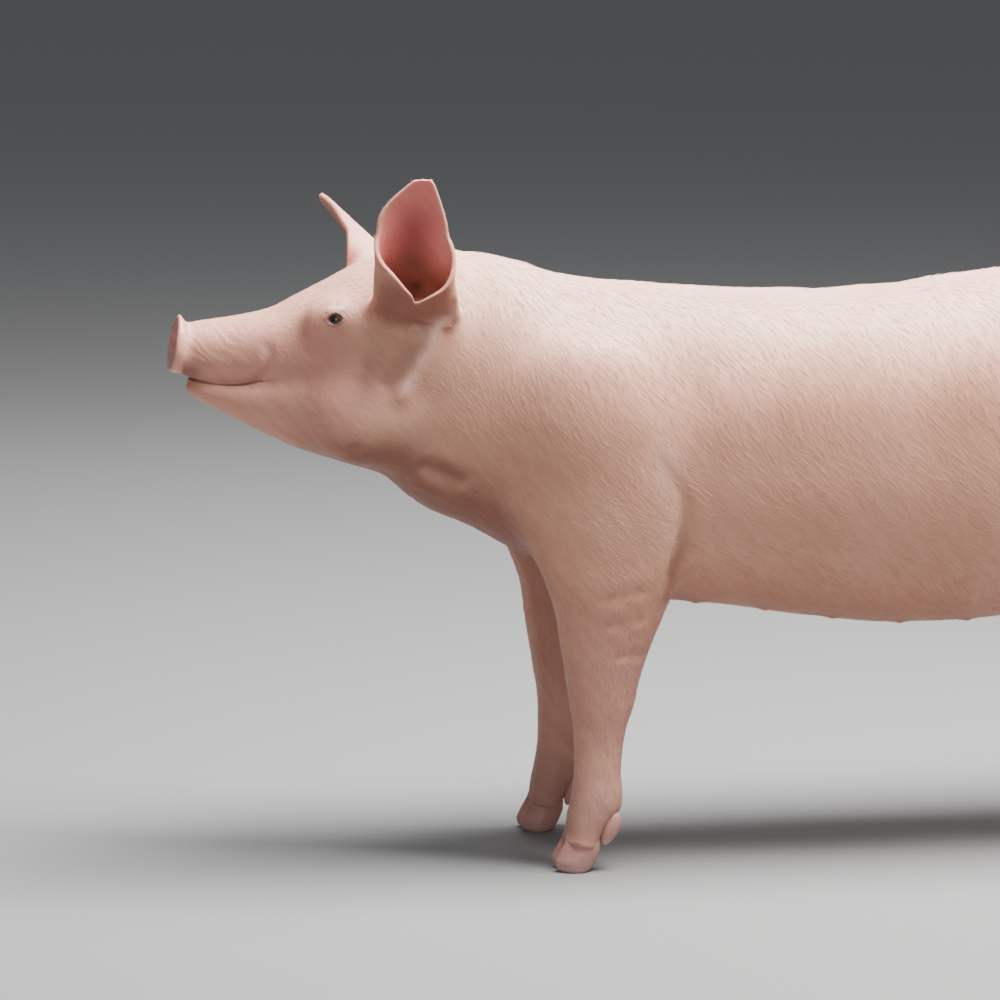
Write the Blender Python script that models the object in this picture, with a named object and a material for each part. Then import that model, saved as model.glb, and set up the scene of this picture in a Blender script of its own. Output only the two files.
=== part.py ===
"""A young Large White gilt, life size, standing square with its head up.

Metres, +Z up. The head points to -Y and the left side is at +X. The floor is z = 0, under the middle of the animal.
The body is modelled whole, as lofts and rounded muscles that flow into each other, and is then parted with thin cuts
where a person would name its parts: head, snout, lower jaw, neck, trunk, tail, legs and ears. Hooves, dewclaws and
eyes are pieces of their own.
"""

import math

import bmesh
import bpy
import numpy as np
from mathutils import Matrix, Vector

for old in list(bpy.data.objects):
    bpy.data.objects.remove(old)

# Driving dimensions. Lengths along the body are measured from the line of the front hooves.
MIDDLE_Y = 0.2490  # from that line to the middle of the animal, which becomes y = 0
CUT = 0.0006  # width of the cuts between parts
GRID = 0.0045  # size of the remeshed quads before they are thinned
BODY_TRIANGLES = 3900  # what the whole body is thinned to, before it is parted
EAR_CUT = {"left": 0.37, "right": 0.52}  # where each ear is cut from the head, as a share of its length
LEG_X = 0.110  # from the middle plane to the middle of a foot


# ---------------------------------------------------------------- rounded shapes and how they join


def smooth_table(rows, steps=240):
    """The rows of a station table, made denser with a curve through them that never overshoots."""
    rows = np.array(rows, float)
    at, values = rows[:, 0], rows[:, 1:]
    gap = np.diff(at)[:, None]
    rise = np.diff(values, axis=0) / gap
    slope = np.zeros_like(values)
    same_way = rise[:-1] * rise[1:] > 0
    inner = 2 * rise[:-1] * rise[1:] / np.where(same_way, rise[:-1] + rise[1:], 1)
    slope[1:-1] = np.where(same_way, inner, 0)
    slope[0], slope[-1] = rise[0], rise[-1]
    fine = np.linspace(at[0], at[-1], steps)
    k = np.clip(np.searchsorted(at, fine, side="right") - 1, 0, len(at) - 2)
    u = ((fine - at[k]) / np.diff(at)[k])[:, None]
    low, high = values[k], values[k + 1]
    bend = (u**3 - 2 * u**2 + u) * slope[k] + (u**3 - u**2) * slope[k + 1]
    curve = (2 * u**3 - 3 * u**2 + 1) * low + (3 * u**2 - 2 * u**3) * high + bend * gap[k]
    return fine, curve


def blend(a, b, k):
    """Union of two distance fields with a fillet of about k."""
    h = np.maximum(k - np.abs(a - b), 0) / k
    return np.minimum(a, b) - h * h * k / 4


class Loft:
    """Superellipse sections stacked along Y (the body) or Z (a leg).

    A station is: place, low edge, belt, high edge, middle, half width, low power, high power. Low, belt and high lie
    along Z for a body and along Y for a leg; the middle and the half width lie along X.
    """

    def __init__(self, along, stations, rounding):
        self.t, self.b = (1, 2) if along == "Y" else (2, 1)
        self.rounding = rounding
        self.at, self.table = smooth_table(stations)

    def section(self, t):
        return [np.interp(t, self.at, column) for column in self.table.T]

    def distance(self, p):
        t = p[:, self.t]
        low, belt, high, middle, half, n_low, n_high = self.section(t)
        x, b = np.abs(p[:, 0] - middle), p[:, self.b] - belt
        reach = np.where(b < 0, belt - low, high - belt)
        n = np.where(b < 0, n_low, n_high)
        u, v = x / half + 1e-9, np.abs(b) / reach + 1e-9
        rho = (u**n + v**n) ** (1 / n)
        slope = np.hypot((u / rho) ** (n - 1) / half, (v / rho) ** (n - 1) / reach)
        side = (rho - 1) / slope
        end = np.maximum(self.at[0] - t, t - self.at[-1])
        return -blend(-side, -end, self.rounding)

    def mesh(self, bm, rings=40, spokes=32):
        """A rough closed skin over the sections, for the remesh to start from."""
        loops = []
        for t in np.linspace(self.at[0] + 0.25 * self.rounding, self.at[-1] - 0.25 * self.rounding, rings):
            low, belt, high, middle, half, n_low, n_high = self.section(t)
            loop = []
            for k in range(spokes):
                angle = 2 * math.pi * k / spokes
                c, s = math.cos(angle), math.sin(angle)
                n = n_low if s < 0 else n_high
                x = middle + half * math.copysign(abs(c) ** (2 / n), c)
                b = belt + (belt - low if s < 0 else high - belt) * math.copysign(abs(s) ** (2 / n), s)
                loop.append(bm.verts.new((x, t, b) if self.t == 1 else (x, b, t)))
            loops.append(loop)
        sew(bm, loops)


class Muscle:
    """An ellipsoid: middle, three radii, and how it is turned about X, Y and Z in degrees."""

    def __init__(self, middle, radii, turn=(0, 0, 0)):
        self.middle, self.radii = np.array(middle, float), np.array(radii, float)
        turned = [Matrix.Rotation(math.radians(a), 3, axis) for a, axis in zip(turn, "XYZ")]
        self.frame = np.array(turned[2] @ turned[1] @ turned[0])

    def distance(self, p):
        q = (p - self.middle) @ self.frame
        k = np.linalg.norm(q / self.radii, axis=1) + 1e-9
        return k * (k - 1) / (np.linalg.norm(q / self.radii**2, axis=1) + 1e-9)

    def mesh(self, bm):
        made = bmesh.ops.create_icosphere(bm, subdivisions=3, radius=1)["verts"]
        for v in made:
            v.co = Vector(self.middle + self.frame @ (np.array(v.co) * self.radii))


class Disc:
    """An oval disc that faces forward, narrower and thinner towards its top: the middle of its front face, half width
    and half height, thickness, lean, and rounding."""

    NARROWER, THINNER = 0.16, 0.40  # how much narrower, and how much thinner, its top is than its middle

    def __init__(self, middle, radii, thickness, lean, rounding):
        self.middle, self.radii = np.array(middle, float), np.array(radii, float)
        self.thickness, self.rounding = thickness, rounding
        self.frame = np.array(Matrix.Rotation(math.radians(lean), 3, "X"))

    def place(self, p):
        """Where points are on the disc: sideways, behind its front face, up, share of the way to the rim, and how fast
        that share grows."""
        q = (p - self.middle) @ self.frame
        height = np.clip(q[:, 2] / self.radii[1], -1, 1)
        half = self.radii[0] * (1 - self.NARROWER * height)
        u, v = np.abs(q[:, 0]) / half + 1e-9, np.abs(q[:, 2]) / self.radii[1] + 1e-9
        rho = (u**2.3 + v**2.3) ** (1 / 2.3)
        growth = np.hypot((u / rho) ** 1.3 / half, (v / rho) ** 1.3 / self.radii[1])
        return q[:, 0], q[:, 1], q[:, 2], rho, growth

    def distance(self, p):
        _, behind, up, rho, growth = self.place(p)
        thickness = self.thickness * (1 - self.THINNER * np.clip(up / self.radii[1], -1, 1))
        faces = np.minimum(behind, thickness - behind)
        return -blend((1 - rho) / growth, faces, self.rounding)

    def mesh(self, bm):
        loops = []
        for share in (0.1, 1.1):
            turns = [2 * math.pi * k / 24 for k in range(24)]
            ring = [(self.radii[0] * math.cos(a), share * self.thickness, self.radii[1] * math.sin(a)) for a in turns]
            loops.append([bm.verts.new(self.middle + self.frame @ np.array(c)) for c in ring])
        sew(bm, loops)


class Ear:
    """A leaf of gristle curled round its own spine.

    The spine runs from base to tip, and bends towards the opening. Near the base the margins meet, and the leaf is a
    cup round the ear canal. Each station is: share of the length, radius of the curl, how far the leaf reaches from the
    spine to its front and back margins, measured round the curl, and the curl's depth as a share of its width.
    Flatness widens the curl towards the tip.
    """

    LEAF = [
        (0.00, 0.042, 0.130, 0.127, 0.30),
        (0.15, 0.041, 0.128, 0.125, 0.42),
        (0.22, 0.040, 0.127, 0.122, 0.50),
        (0.30, 0.0405, 0.125, 0.108, 0.56),
        (0.37, 0.041, 0.117, 0.088, 0.60),
        (0.44, 0.041, 0.104, 0.070, 0.62),
        (0.50, 0.042, 0.088, 0.056, 0.62),
        (0.58, 0.044, 0.067, 0.043, 0.62),
        (0.64, 0.048, 0.054, 0.033, 0.62),
        (0.72, 0.055, 0.049, 0.028, 0.62),
        (0.80, 0.062, 0.0385, 0.0225, 0.62),
        (0.90, 0.068, 0.0210, 0.0150, 0.62),
        (0.96, 0.072, 0.0100, 0.0100, 0.62),
        (0.985, 0.074, 0.0050, 0.0062, 0.62),
        (1.00, 0.075, 0.0010, 0.0010, 0.62),
    ]

    def __init__(self, side, base, tip, opening, thickness, bend, flatness):
        self.base, tip = np.array(base, float), np.array(tip, float)
        spine = tip - self.base
        self.length = np.linalg.norm(spine)
        self.up = spine / self.length
        opening = np.array(opening, float)
        opening = opening - self.up * (opening @ self.up)
        self.out = opening / np.linalg.norm(opening)
        self.fore = np.cross(self.out, self.up) * side
        self.thickness, self.bend = thickness, bend
        self.at, self.table = smooth_table(self.LEAF)
        self.table[:, 0] *= 1 + (flatness - 1) * self.at

    def bent(self, v):
        """How far the spine has left the straight line from base to tip, towards the opening."""
        return self.bend * v * (1.6 - v) / 0.6

    def spot(self, v, reach):
        """The point at share v of the length, reach metres round the curl from the spine, front positive."""
        radius, depth = [float(np.interp(v, self.at, column)) for column in self.table[:, (0, 3)].T]
        angle = reach / radius
        out = depth * radius * (1 - math.cos(angle)) + self.bent(v)
        return self.base + self.up * v * self.length + self.out * out + self.fore * radius * math.sin(angle)

    def distance(self, p):
        q = p - self.base
        along = q @ self.up
        v = np.clip(along / self.length, 0, 1)
        radius, front, back, depth = [np.interp(v, self.at, column) for column in self.table.T]
        out, fore = q @ self.out - depth * radius - self.bent(v), q @ self.fore
        middle, reach = (front - back) / radius / 2, (front + back) / radius / 2
        angle = np.arctan2(fore, -out / depth) - middle
        angle = np.clip((angle + math.pi) % (2 * math.pi) - math.pi, -reach, reach) + middle
        gap_out, gap_fore = out + depth * radius * np.cos(angle), fore - radius * np.sin(angle)
        beyond = along - v * self.length
        wall = self.thickness * (1 - 0.45 * v)
        return np.sqrt(gap_out**2 + gap_fore**2 + beyond**2) - wall / 2

    def mesh(self, bm, first=0.0, rows=30, columns=20):
        """The leaf from the given share of its length to the tip, with rounded margins."""
        loops = []
        for v in np.linspace(first, 0.985, rows):
            front, back = [float(np.interp(v, self.at, column)) for column in self.table[:, 1:3].T]
            middle = np.array([self.spot(v, reach) for reach in np.linspace(-back, front, columns)])
            along = np.gradient(middle, axis=0)
            along /= np.linalg.norm(along, axis=1)[:, None]
            half = self.thickness * (1 - 0.45 * v) / 2
            outer = middle + half * np.cross(along, self.up)
            inner = middle - half * np.cross(along, self.up)
            margins = (middle[-1] + half * along[-1], middle[0] - half * along[0])
            loop = [*outer, margins[0], *inner[::-1], margins[1]]
            loops.append([bm.verts.new(spot) for spot in loop])
        sew(bm, loops)


class Fold:
    """A rounded roll along a line of spots, with a radius at each."""

    def __init__(self, line, radii):
        self.line, self.radii = np.array(line, float), np.array(radii, float)

    def distance(self, p):
        nearest = np.full(len(p), 9.0)
        for a, b, ra, rb in zip(self.line, self.line[1:], self.radii, self.radii[1:]):
            u = np.clip((p - a) @ (b - a) / ((b - a) @ (b - a)), 0, 1)
            gap = np.linalg.norm(p - a - u[:, None] * (b - a), axis=1)
            nearest = np.minimum(nearest, gap - ra - (rb - ra) * u)
        return nearest

    def mesh(self, bm, spokes=12):
        loops = []
        for k, (spot, radius) in enumerate(zip(self.line, self.radii)):
            ahead = self.line[min(k + 1, len(self.line) - 1)] - self.line[max(k - 1, 0)]
            ahead /= np.linalg.norm(ahead)
            across = np.cross(ahead, (1, 0, 0))
            across /= np.linalg.norm(across)
            other = np.cross(ahead, across)
            turns = [2 * math.pi * j / spokes for j in range(spokes)]
            loops.append([bm.verts.new(spot + radius * (math.cos(a) * across + math.sin(a) * other)) for a in turns])
        sew(bm, loops)


class Tail(Fold):
    """A tapering tail that leaves the rump, drops, and makes one turn of a curl to the right."""

    ROOT, TIP = 0.015, 0.0045  # radius at the rump and at the tip
    CURL, PITCH, TURNS = 0.024, 0.022, 1.25  # radius of the curl, sideways travel for each turn, number of turns

    def __init__(self, start, spots=44):
        start = np.array(start, float)
        stalk = [start + np.array((0, 0.094 * u, -0.004 * u - 0.018 * u * u)) for u in np.linspace(0, 1, 9)]
        end = stalk[-1]
        fall = math.atan2(-(end - stalk[-2])[2], (end - stalk[-2])[1])
        curl = []
        for u in np.linspace(0, 1, spots)[1:]:
            angle = fall + 2 * math.pi * self.TURNS * u
            centre = end + self.CURL * np.array((0, -math.sin(fall), -math.cos(fall)))
            tight = self.CURL * (1 - 0.25 * u)
            side = -self.PITCH * self.TURNS * u
            curl.append(centre + np.array((side, tight * math.sin(angle), tight * math.cos(angle))))
        line = np.array(stalk + curl)
        run = np.concatenate(([0], np.cumsum(np.linalg.norm(np.diff(line, axis=0), axis=1))))
        super().__init__(line, self.ROOT + (self.TIP - self.ROOT) * (run / run[-1]) ** 0.8)


def sew(bm, loops):
    """Faces between neighbouring loops of equal length, with both ends closed."""
    count = len(loops[0])
    for below, above in zip(loops, loops[1:]):
        for k in range(count):
            following = (k + 1) % count
            bm.faces.new((below[k], below[following], above[following], above[k]))
    bm.faces.new(loops[0][::-1])
    bm.faces.new(loops[-1])


# ---------------------------------------------------------------- the animal's shapes


NECK_AND_TRUNK = Loft(
    "Y",
    [
        (-0.205, 0.440, 0.545, 0.660, 0, 0.084, 2.2, 2.2),
        (-0.150, 0.392, 0.520, 0.675, 0, 0.101, 2.2, 2.2),
        (-0.100, 0.369, 0.500, 0.676, 0, 0.118, 2.2, 2.1),
        (-0.050, 0.341, 0.480, 0.667, 0, 0.132, 2.2, 2.1),
        (0.000, 0.318, 0.465, 0.651, 0, 0.142, 2.2, 2.1),
        (0.050, 0.299, 0.455, 0.643, 0, 0.148, 2.3, 2.2),
        (0.120, 0.282, 0.450, 0.637, 0, 0.153, 2.3, 2.3),
        (0.200, 0.272, 0.450, 0.630, 0, 0.157, 2.3, 2.4),
        (0.290, 0.258, 0.445, 0.627, 0, 0.161, 2.3, 2.5),
        (0.380, 0.249, 0.440, 0.631, 0, 0.164, 2.3, 2.5),
        (0.450, 0.249, 0.440, 0.639, 0, 0.164, 2.3, 2.5),
        (0.520, 0.254, 0.445, 0.647, 0, 0.162, 2.3, 2.5),
        (0.600, 0.278, 0.455, 0.650, 0, 0.158, 2.3, 2.4),
        (0.680, 0.325, 0.470, 0.641, 0, 0.152, 2.2, 2.3),
        (0.760, 0.390, 0.495, 0.618, 0, 0.137, 2.1, 2.2),
        (0.840, 0.450, 0.515, 0.580, 0, 0.100, 2.0, 2.0),
    ],
    rounding=0.05,
)
UPPER_HEAD = Loft(
    "Y",
    [
        (-0.422, 0.552, 0.574, 0.599, 0, 0.029, 2.3, 2.2),
        (-0.400, 0.541, 0.570, 0.6035, 0, 0.033, 2.4, 2.2),
        (-0.360, 0.537, 0.568, 0.6085, 0, 0.0395, 2.4, 2.3),
        (-0.320, 0.532, 0.568, 0.616, 0, 0.050, 2.3, 2.4),
        (-0.290, 0.525, 0.570, 0.630, 0, 0.060, 2.3, 2.4),
        (-0.258, 0.515, 0.575, 0.645, 0, 0.070, 2.2, 2.5),
        (-0.225, 0.505, 0.580, 0.661, 0, 0.078, 2.2, 2.5),
        (-0.180, 0.495, 0.585, 0.672, 0, 0.084, 2.2, 2.4),
        (-0.130, 0.485, 0.585, 0.672, 0, 0.088, 2.2, 2.2),
    ],
    rounding=0.012,
)
LOWER_HEAD = Loft(
    "Y",
    [
        (-0.412, 0.521, 0.531, 0.540, 0, 0.018, 2.2, 2.6),
        (-0.395, 0.514, 0.529, 0.543, 0, 0.026, 2.2, 2.6),
        (-0.360, 0.495, 0.522, 0.545, 0, 0.036, 2.2, 2.4),
        (-0.323, 0.476, 0.520, 0.555, 0, 0.048, 2.2, 2.2),
        (-0.285, 0.459, 0.520, 0.565, 0, 0.062, 2.2, 2.2),
        (-0.245, 0.446, 0.515, 0.575, 0, 0.074, 2.2, 2.2),
        (-0.200, 0.431, 0.510, 0.580, 0, 0.083, 2.2, 2.2),
        (-0.165, 0.410, 0.505, 0.580, 0, 0.088, 2.2, 2.2),
    ],
    rounding=0.012,
)
NOSE_DISC = Disc((0, -0.4262, 0.5800), (0.0352, 0.0318), 0.0100, -10, 0.007)
TAIL = Tail((0, 0.816, 0.572))


def fore_leg(side):
    x = side * LEG_X
    return Loft(
        "Z",
        [
            (0.000, -0.020, 0.004, 0.022, x, 0.0275, 2.3, 2.3),
            (0.030, -0.0130, 0.008, 0.0275, x, 0.0275, 2.3, 2.3),
            (0.045, -0.0095, 0.012, 0.034, x, 0.0270, 2.3, 2.3),
            (0.058, -0.0080, 0.017, 0.044, x, 0.0270, 2.3, 2.3),
            (0.072, -0.0050, 0.022, 0.0535, x, 0.0268, 2.2, 2.2),
            (0.088, -0.0020, 0.025, 0.0545, x, 0.0260, 2.2, 2.2),
            (0.105, -0.0003, 0.026, 0.0525, x, 0.024, 2.2, 2.2),
            (0.130, 0.000, 0.027, 0.054, x, 0.0235, 2.2, 2.2),
            (0.160, -0.002, 0.028, 0.060, x, 0.027, 2.2, 2.2),
            (0.185, -0.007, 0.029, 0.069, x, 0.031, 2.2, 2.1),
            (0.205, -0.010, 0.030, 0.073, x, 0.033, 2.2, 2.1),
            (0.248, -0.017, 0.033, 0.087, x, 0.038, 2.2, 2.1),
            (0.283, -0.022, 0.038, 0.101, x, 0.042, 2.2, 2.1),
            (0.320, -0.034, 0.038, 0.112, x, 0.045, 2.2, 2.1),
            (0.360, -0.050, 0.035, 0.115, x - side * 0.004, 0.046, 2.2, 2.1),
            (0.410, -0.062, 0.030, 0.114, x - side * 0.008, 0.045, 2.2, 2.1),
            (0.470, -0.055, 0.030, 0.100, x - side * 0.018, 0.042, 2.2, 2.2),
        ],
        rounding=0.010,
    )


def hind_leg(side):
    x = side * LEG_X
    return Loft(
        "Z",
        [
            (0.000, 0.690, 0.714, 0.733, x, 0.0275, 2.3, 2.3),
            (0.030, 0.6975, 0.718, 0.7385, x, 0.0275, 2.3, 2.3),
            (0.045, 0.7005, 0.722, 0.745, x, 0.0270, 2.3, 2.3),
            (0.058, 0.7025, 0.728, 0.755, x, 0.0270, 2.3, 2.3),
            (0.072, 0.7060, 0.734, 0.7650, x, 0.0268, 2.2, 2.2),
            (0.088, 0.7110, 0.740, 0.7690, x, 0.0260, 2.2, 2.2),
            (0.110, 0.716, 0.743, 0.770, x, 0.0235, 2.2, 2.2),
            (0.150, 0.719, 0.748, 0.777, x, 0.023, 2.2, 2.2),
            (0.185, 0.716, 0.754, 0.790, x, 0.025, 2.2, 2.2),
            (0.215, 0.704, 0.756, 0.803, x, 0.028, 2.2, 2.1),
            (0.245, 0.680, 0.746, 0.806, x, 0.030, 2.2, 2.1),
            (0.280, 0.640, 0.725, 0.812, x, 0.036, 2.2, 2.1),
            (0.320, 0.592, 0.710, 0.831, x - side * 0.002, 0.046, 2.2, 2.1),
            (0.370, 0.562, 0.705, 0.852, x - side * 0.008, 0.060, 2.2, 2.1),
            (0.430, 0.565, 0.715, 0.866, x - side * 0.015, 0.069, 2.2, 2.1),
            (0.490, 0.600, 0.725, 0.862, x - side * 0.022, 0.072, 2.2, 2.1),
            (0.550, 0.650, 0.740, 0.835, x - side * 0.034, 0.066, 2.2, 2.1),
        ],
        rounding=0.010,
    )


def muscles(side):
    """The muscles that show through the skin on one side: (shape, fillet)."""
    return [
        (Muscle((side * 0.100, 0.030, 0.455), (0.058, 0.085, 0.135), (14, side * 10, 0)), 0.05),  # shoulder
        (Muscle((side * 0.116, 0.046, 0.392), (0.046, 0.070, 0.100), (8, side * 6, 0)), 0.018),  # upper arm
        (Muscle((side * 0.058, -0.215, 0.505), (0.036, 0.062, 0.050), (20, 0, side * 8)), 0.03),  # cheek
        (Muscle((side * 0.0530, -0.2520, 0.605), (0.0168, 0.034, 0.024), (-10, 0, side * 14)), 0.022),  # round the eye
        (Muscle((side * 0.060, -0.2515, 0.610), (0.0140, 0.019, 0.015), (-10, 0, side * 14)), 0.012),  # lids
        (Muscle((side * 0.070, 0.715, 0.520), (0.078, 0.130, 0.115), (0, 0, 0)), 0.06),  # haunch
    ]


EARS = {
    "left": Ear(1, (0.060, -0.172, 0.605), (0.120, -0.167, 0.770), (0.90, -0.20, -0.30), 0.0085, 0.006, 1.0),
    "right": Ear(-1, (-0.060, -0.130, 0.617), (-0.130, -0.246, 0.729), (0.12, -0.73, -0.68), 0.0125, 0.000, 1.36),
}
EAR_LOBES = [
    Fold(
        [(0.1100, -0.1365, 0.654), (0.1040, -0.1325, 0.634), (0.0945, -0.1325, 0.6155), (0.0930, -0.1365, 0.6055)],
        [0.0042, 0.0062, 0.0100, 0.0088],
    ),
    Fold([(-0.106, -0.138, 0.606), (-0.100, -0.130, 0.603), (-0.0945, -0.1225, 0.600)], [0.0056, 0.0065, 0.0050]),
]


def body_distance(p):
    """Signed distance from the coat's surface of the whole animal without hooves and eyes, negative inside."""
    q = p + np.array([0, MIDDLE_Y, 0])
    d = NECK_AND_TRUNK.distance(q)
    d = blend(d, UPPER_HEAD.distance(q), 0.03)
    d = blend(d, LOWER_HEAD.distance(q), 0.014)
    d = blend(d, NOSE_DISC.distance(q), 0.012)
    for side in (1, -1):
        for shape, fillet in muscles(side):
            d = blend(d, shape.distance(q), fillet)
        d = blend(d, fore_leg(side).distance(q), 0.025)
        d = blend(d, hind_leg(side).distance(q), 0.035)
    for ear in EARS.values():
        d = blend(d, ear.distance(q), 0.012)
    for lobe in EAR_LOBES:
        d = blend(d, lobe.distance(q), 0.005)
    return blend(d, TAIL.distance(q), 0.012)


# ---------------------------------------------------------------- one closed body, then thin cuts


def slope_of(field, p, step=0.0004):
    """Gradient of a distance field."""
    axes = np.eye(3) * step
    return np.stack([field(p + a) - field(p - a) for a in axes], axis=1) / (2 * step)


def settle(mesh, field, rounds=9):
    """Move a mesh's points onto the zero of a distance field, and even out their spacing."""
    count = len(mesh.vertices)
    p = np.empty(count * 3)
    mesh.vertices.foreach_get("co", p)
    p = p.reshape(-1, 3)
    edges = np.empty(len(mesh.edges) * 2, int)
    mesh.edges.foreach_get("vertices", edges)
    a, b = edges.reshape(-1, 2).T
    degree = np.bincount(np.concatenate((a, b)), minlength=count)[:, None]
    for turn in range(rounds):
        slope = slope_of(field, p)
        steep = np.linalg.norm(slope, axis=1)[:, None] + 1e-9
        normal = slope / steep
        p = p - np.clip(field(p)[:, None] / steep, -0.004, 0.004) * normal
        if turn < rounds - 2:
            middle = np.zeros_like(p)
            np.add.at(middle, a, p[b])
            np.add.at(middle, b, p[a])
            drift = middle / degree - p
            p = p + 0.5 * (drift - (drift * normal).sum(axis=1)[:, None] * normal)
    mesh.vertices.foreach_set("co", p.ravel())
    mesh.update()


def new_object(name, mesh):
    thing = bpy.data.objects.new(name, mesh)
    bpy.context.scene.collection.objects.link(thing)
    return thing


def apply_modifiers(thing):
    """Give the object the mesh that its modifiers make, and take them off."""
    bpy.context.view_layer.update()
    made = bpy.data.meshes.new_from_object(thing.evaluated_get(bpy.context.evaluated_depsgraph_get()))
    thing.modifiers.clear()
    old = thing.data
    thing.data = made
    bpy.data.meshes.remove(old)


def boolean(thing, cutter, operation):
    step = thing.modifiers.new(operation, "BOOLEAN")
    step.operation, step.solver, step.object = operation, "EXACT", cutter
    apply_modifiers(thing)


def whole_body():
    bm = bmesh.new()
    for loft in (NECK_AND_TRUNK, UPPER_HEAD, LOWER_HEAD):
        loft.mesh(bm)
    NOSE_DISC.mesh(bm)
    TAIL.mesh(bm)
    for side in (1, -1):
        for shape, _ in muscles(side):
            shape.mesh(bm)
        fore_leg(side).mesh(bm)
        hind_leg(side).mesh(bm)
    for piece in [*EARS.values(), *EAR_LOBES]:
        piece.mesh(bm)
    bmesh.ops.translate(bm, vec=(0, -MIDDLE_Y, 0), verts=bm.verts)
    bmesh.ops.recalc_face_normals(bm, faces=bm.faces)
    mesh = bpy.data.meshes.new("body")
    bm.to_mesh(mesh)
    bm.free()
    body = new_object("body", mesh)
    step = body.modifiers.new("Remesh", "REMESH")
    step.mode, step.voxel_size = "VOXEL", GRID
    apply_modifiers(body)
    settle(body.data, body_distance)
    return body


def thin(thing, triangles):
    """Keep about this many triangles, where the surface bends most."""
    thing.modifiers.new("Triangulate", "TRIANGULATE")
    apply_modifiers(thing)
    step = thing.modifiers.new("Decimate", "DECIMATE")
    step.ratio = triangles / len(thing.data.polygons)
    apply_modifiers(thing)


def region(planes, grow):
    """A convex block bounded by planes, each a point on it and the direction that leads out of the block."""
    bm = bmesh.new()
    bmesh.ops.create_cube(bm, size=4)
    for point, out in planes:
        out = Vector(out).normalized()
        everything = bm.verts[:] + bm.edges[:] + bm.faces[:]
        at = Vector(point) + out * grow - Vector((0, MIDDLE_Y, 0))
        cut = bmesh.ops.bisect_plane(bm, geom=everything, plane_co=at, plane_no=out, clear_outer=True)
        bmesh.ops.edgenet_fill(bm, edges=[e for e in cut["geom_cut"] if isinstance(e, bmesh.types.BMEdge)])
    bmesh.ops.recalc_face_normals(bm, faces=bm.faces)
    mesh = bpy.data.meshes.new("region")
    bm.to_mesh(mesh)
    bm.free()
    return new_object("region", mesh)


def part_off(body, name, planes):
    """Take the named part off the body, with a thin cut between the two."""
    piece = new_object(name, body.data.copy())
    inside = region(planes, -CUT / 2)
    boolean(piece, inside, "INTERSECT")
    bpy.data.objects.remove(inside)
    outside = region(planes, CUT / 2)
    boolean(body, outside, "DIFFERENCE")
    bpy.data.objects.remove(outside)
    return piece


# ---------------------------------------------------------------- pieces of their own: eyes, hooves, dewclaws

EYE_RADIUS = 0.0120
EYE = (0.0645, -0.2535, 0.6090)  # middle of the left eyeball
EYE_OUT = Vector((0.915, -0.375, 0.150)).normalized()  # the way the left eye looks
LID_OPENING = (0.0080, 0.0058)  # half length and half height of the opening between the lids
CORONET_SLOPE = (0, 0.28, 1)  # normal of the plane where horn meets skin, which runs down to the heel
CORONET_HEIGHT = 0.0272
FORE_FOOT_Y, HIND_FOOT_Y = 0.003, 0.714
CLAW_X = 0.0142  # from the middle of a foot to the middle of one of its two claws
CLAW_LEVELS = [  # height, toe, heel, half width
    (0.0000, -0.0190, 0.0090, 0.0098),
    (0.0030, -0.0230, 0.0130, 0.0120),
    (0.0110, -0.0256, 0.0180, 0.0129),
    (0.0200, -0.0220, 0.0218, 0.0128),
    (0.0290, -0.0168, 0.0240, 0.0120),
    (0.0380, -0.0112, 0.0230, 0.0098),
]
CLAW_SPOKES = 14
SPUR_X, SPUR_Y, SPUR_Z = 0.0160, 0.0350, 0.0475  # from the middle of a foot to the middle of a dewclaw
SPUR_RADII = (0.0094, 0.0120, 0.0195)
SPUR_SOCKET_GAP = 0.0003


def from_bmesh(name, bm):
    bmesh.ops.translate(bm, vec=(0, -MIDDLE_Y, 0), verts=bm.verts)
    bmesh.ops.recalc_face_normals(bm, faces=bm.faces)
    mesh = bpy.data.meshes.new(name)
    bm.to_mesh(mesh)
    bm.free()
    mesh.shade_smooth()
    return new_object(name, mesh)


def eyeball(name, side, radius):
    bm = bmesh.new()
    bmesh.ops.create_icosphere(bm, subdivisions=2, radius=radius)
    bmesh.ops.translate(bm, vec=(side * EYE[0], EYE[1], EYE[2]), verts=bm.verts)
    return from_bmesh(name, bm)


def lid_opening(side):
    """A short oval bar from inside the eyeball out through the lids."""
    along = EYE_OUT.cross((0, 0, 1)).normalized()
    up = along.cross(EYE_OUT)
    bm = bmesh.new()
    bmesh.ops.create_cone(bm, cap_ends=True, segments=20, radius1=1, radius2=1, depth=1)
    for v in bm.verts:
        reach = 0.016 + 0.020 * v.co.z
        spot = along * v.co.x * LID_OPENING[0] + up * v.co.y * LID_OPENING[1] + EYE_OUT * reach + Vector(EYE)
        v.co = (side * spot.x, spot.y, spot.z)
    return from_bmesh("opening", bm)


def coronet(y):
    return ((0, y, CORONET_HEIGHT), CORONET_SLOPE)


def hoof(name, x, y, inward):
    """One claw: a flat sole, a wall that slopes at the toe, and a top under the coronet."""
    bm = bmesh.new()
    loops = []
    for z, toe, heel, half in CLAW_LEVELS:
        loop = []
        for k in range(CLAW_SPOKES):
            turn = 2 * math.pi * k / CLAW_SPOKES
            fore = max(0, -math.sin(turn))
            across = half * math.cos(turn) * (1 - 0.22 * fore) + inward * 0.0025 * fore
            along = (toe + heel) / 2 + (heel - toe) / 2 * math.sin(turn)
            loop.append(bm.verts.new((x + across, y + along, z)))
        loops.append(loop)
    sew(bm, loops)
    claw = from_bmesh(name, bm)
    below = region([coronet(y)], -CUT / 2)
    boolean(claw, below, "INTERSECT")
    bpy.data.objects.remove(below)
    return claw


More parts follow.
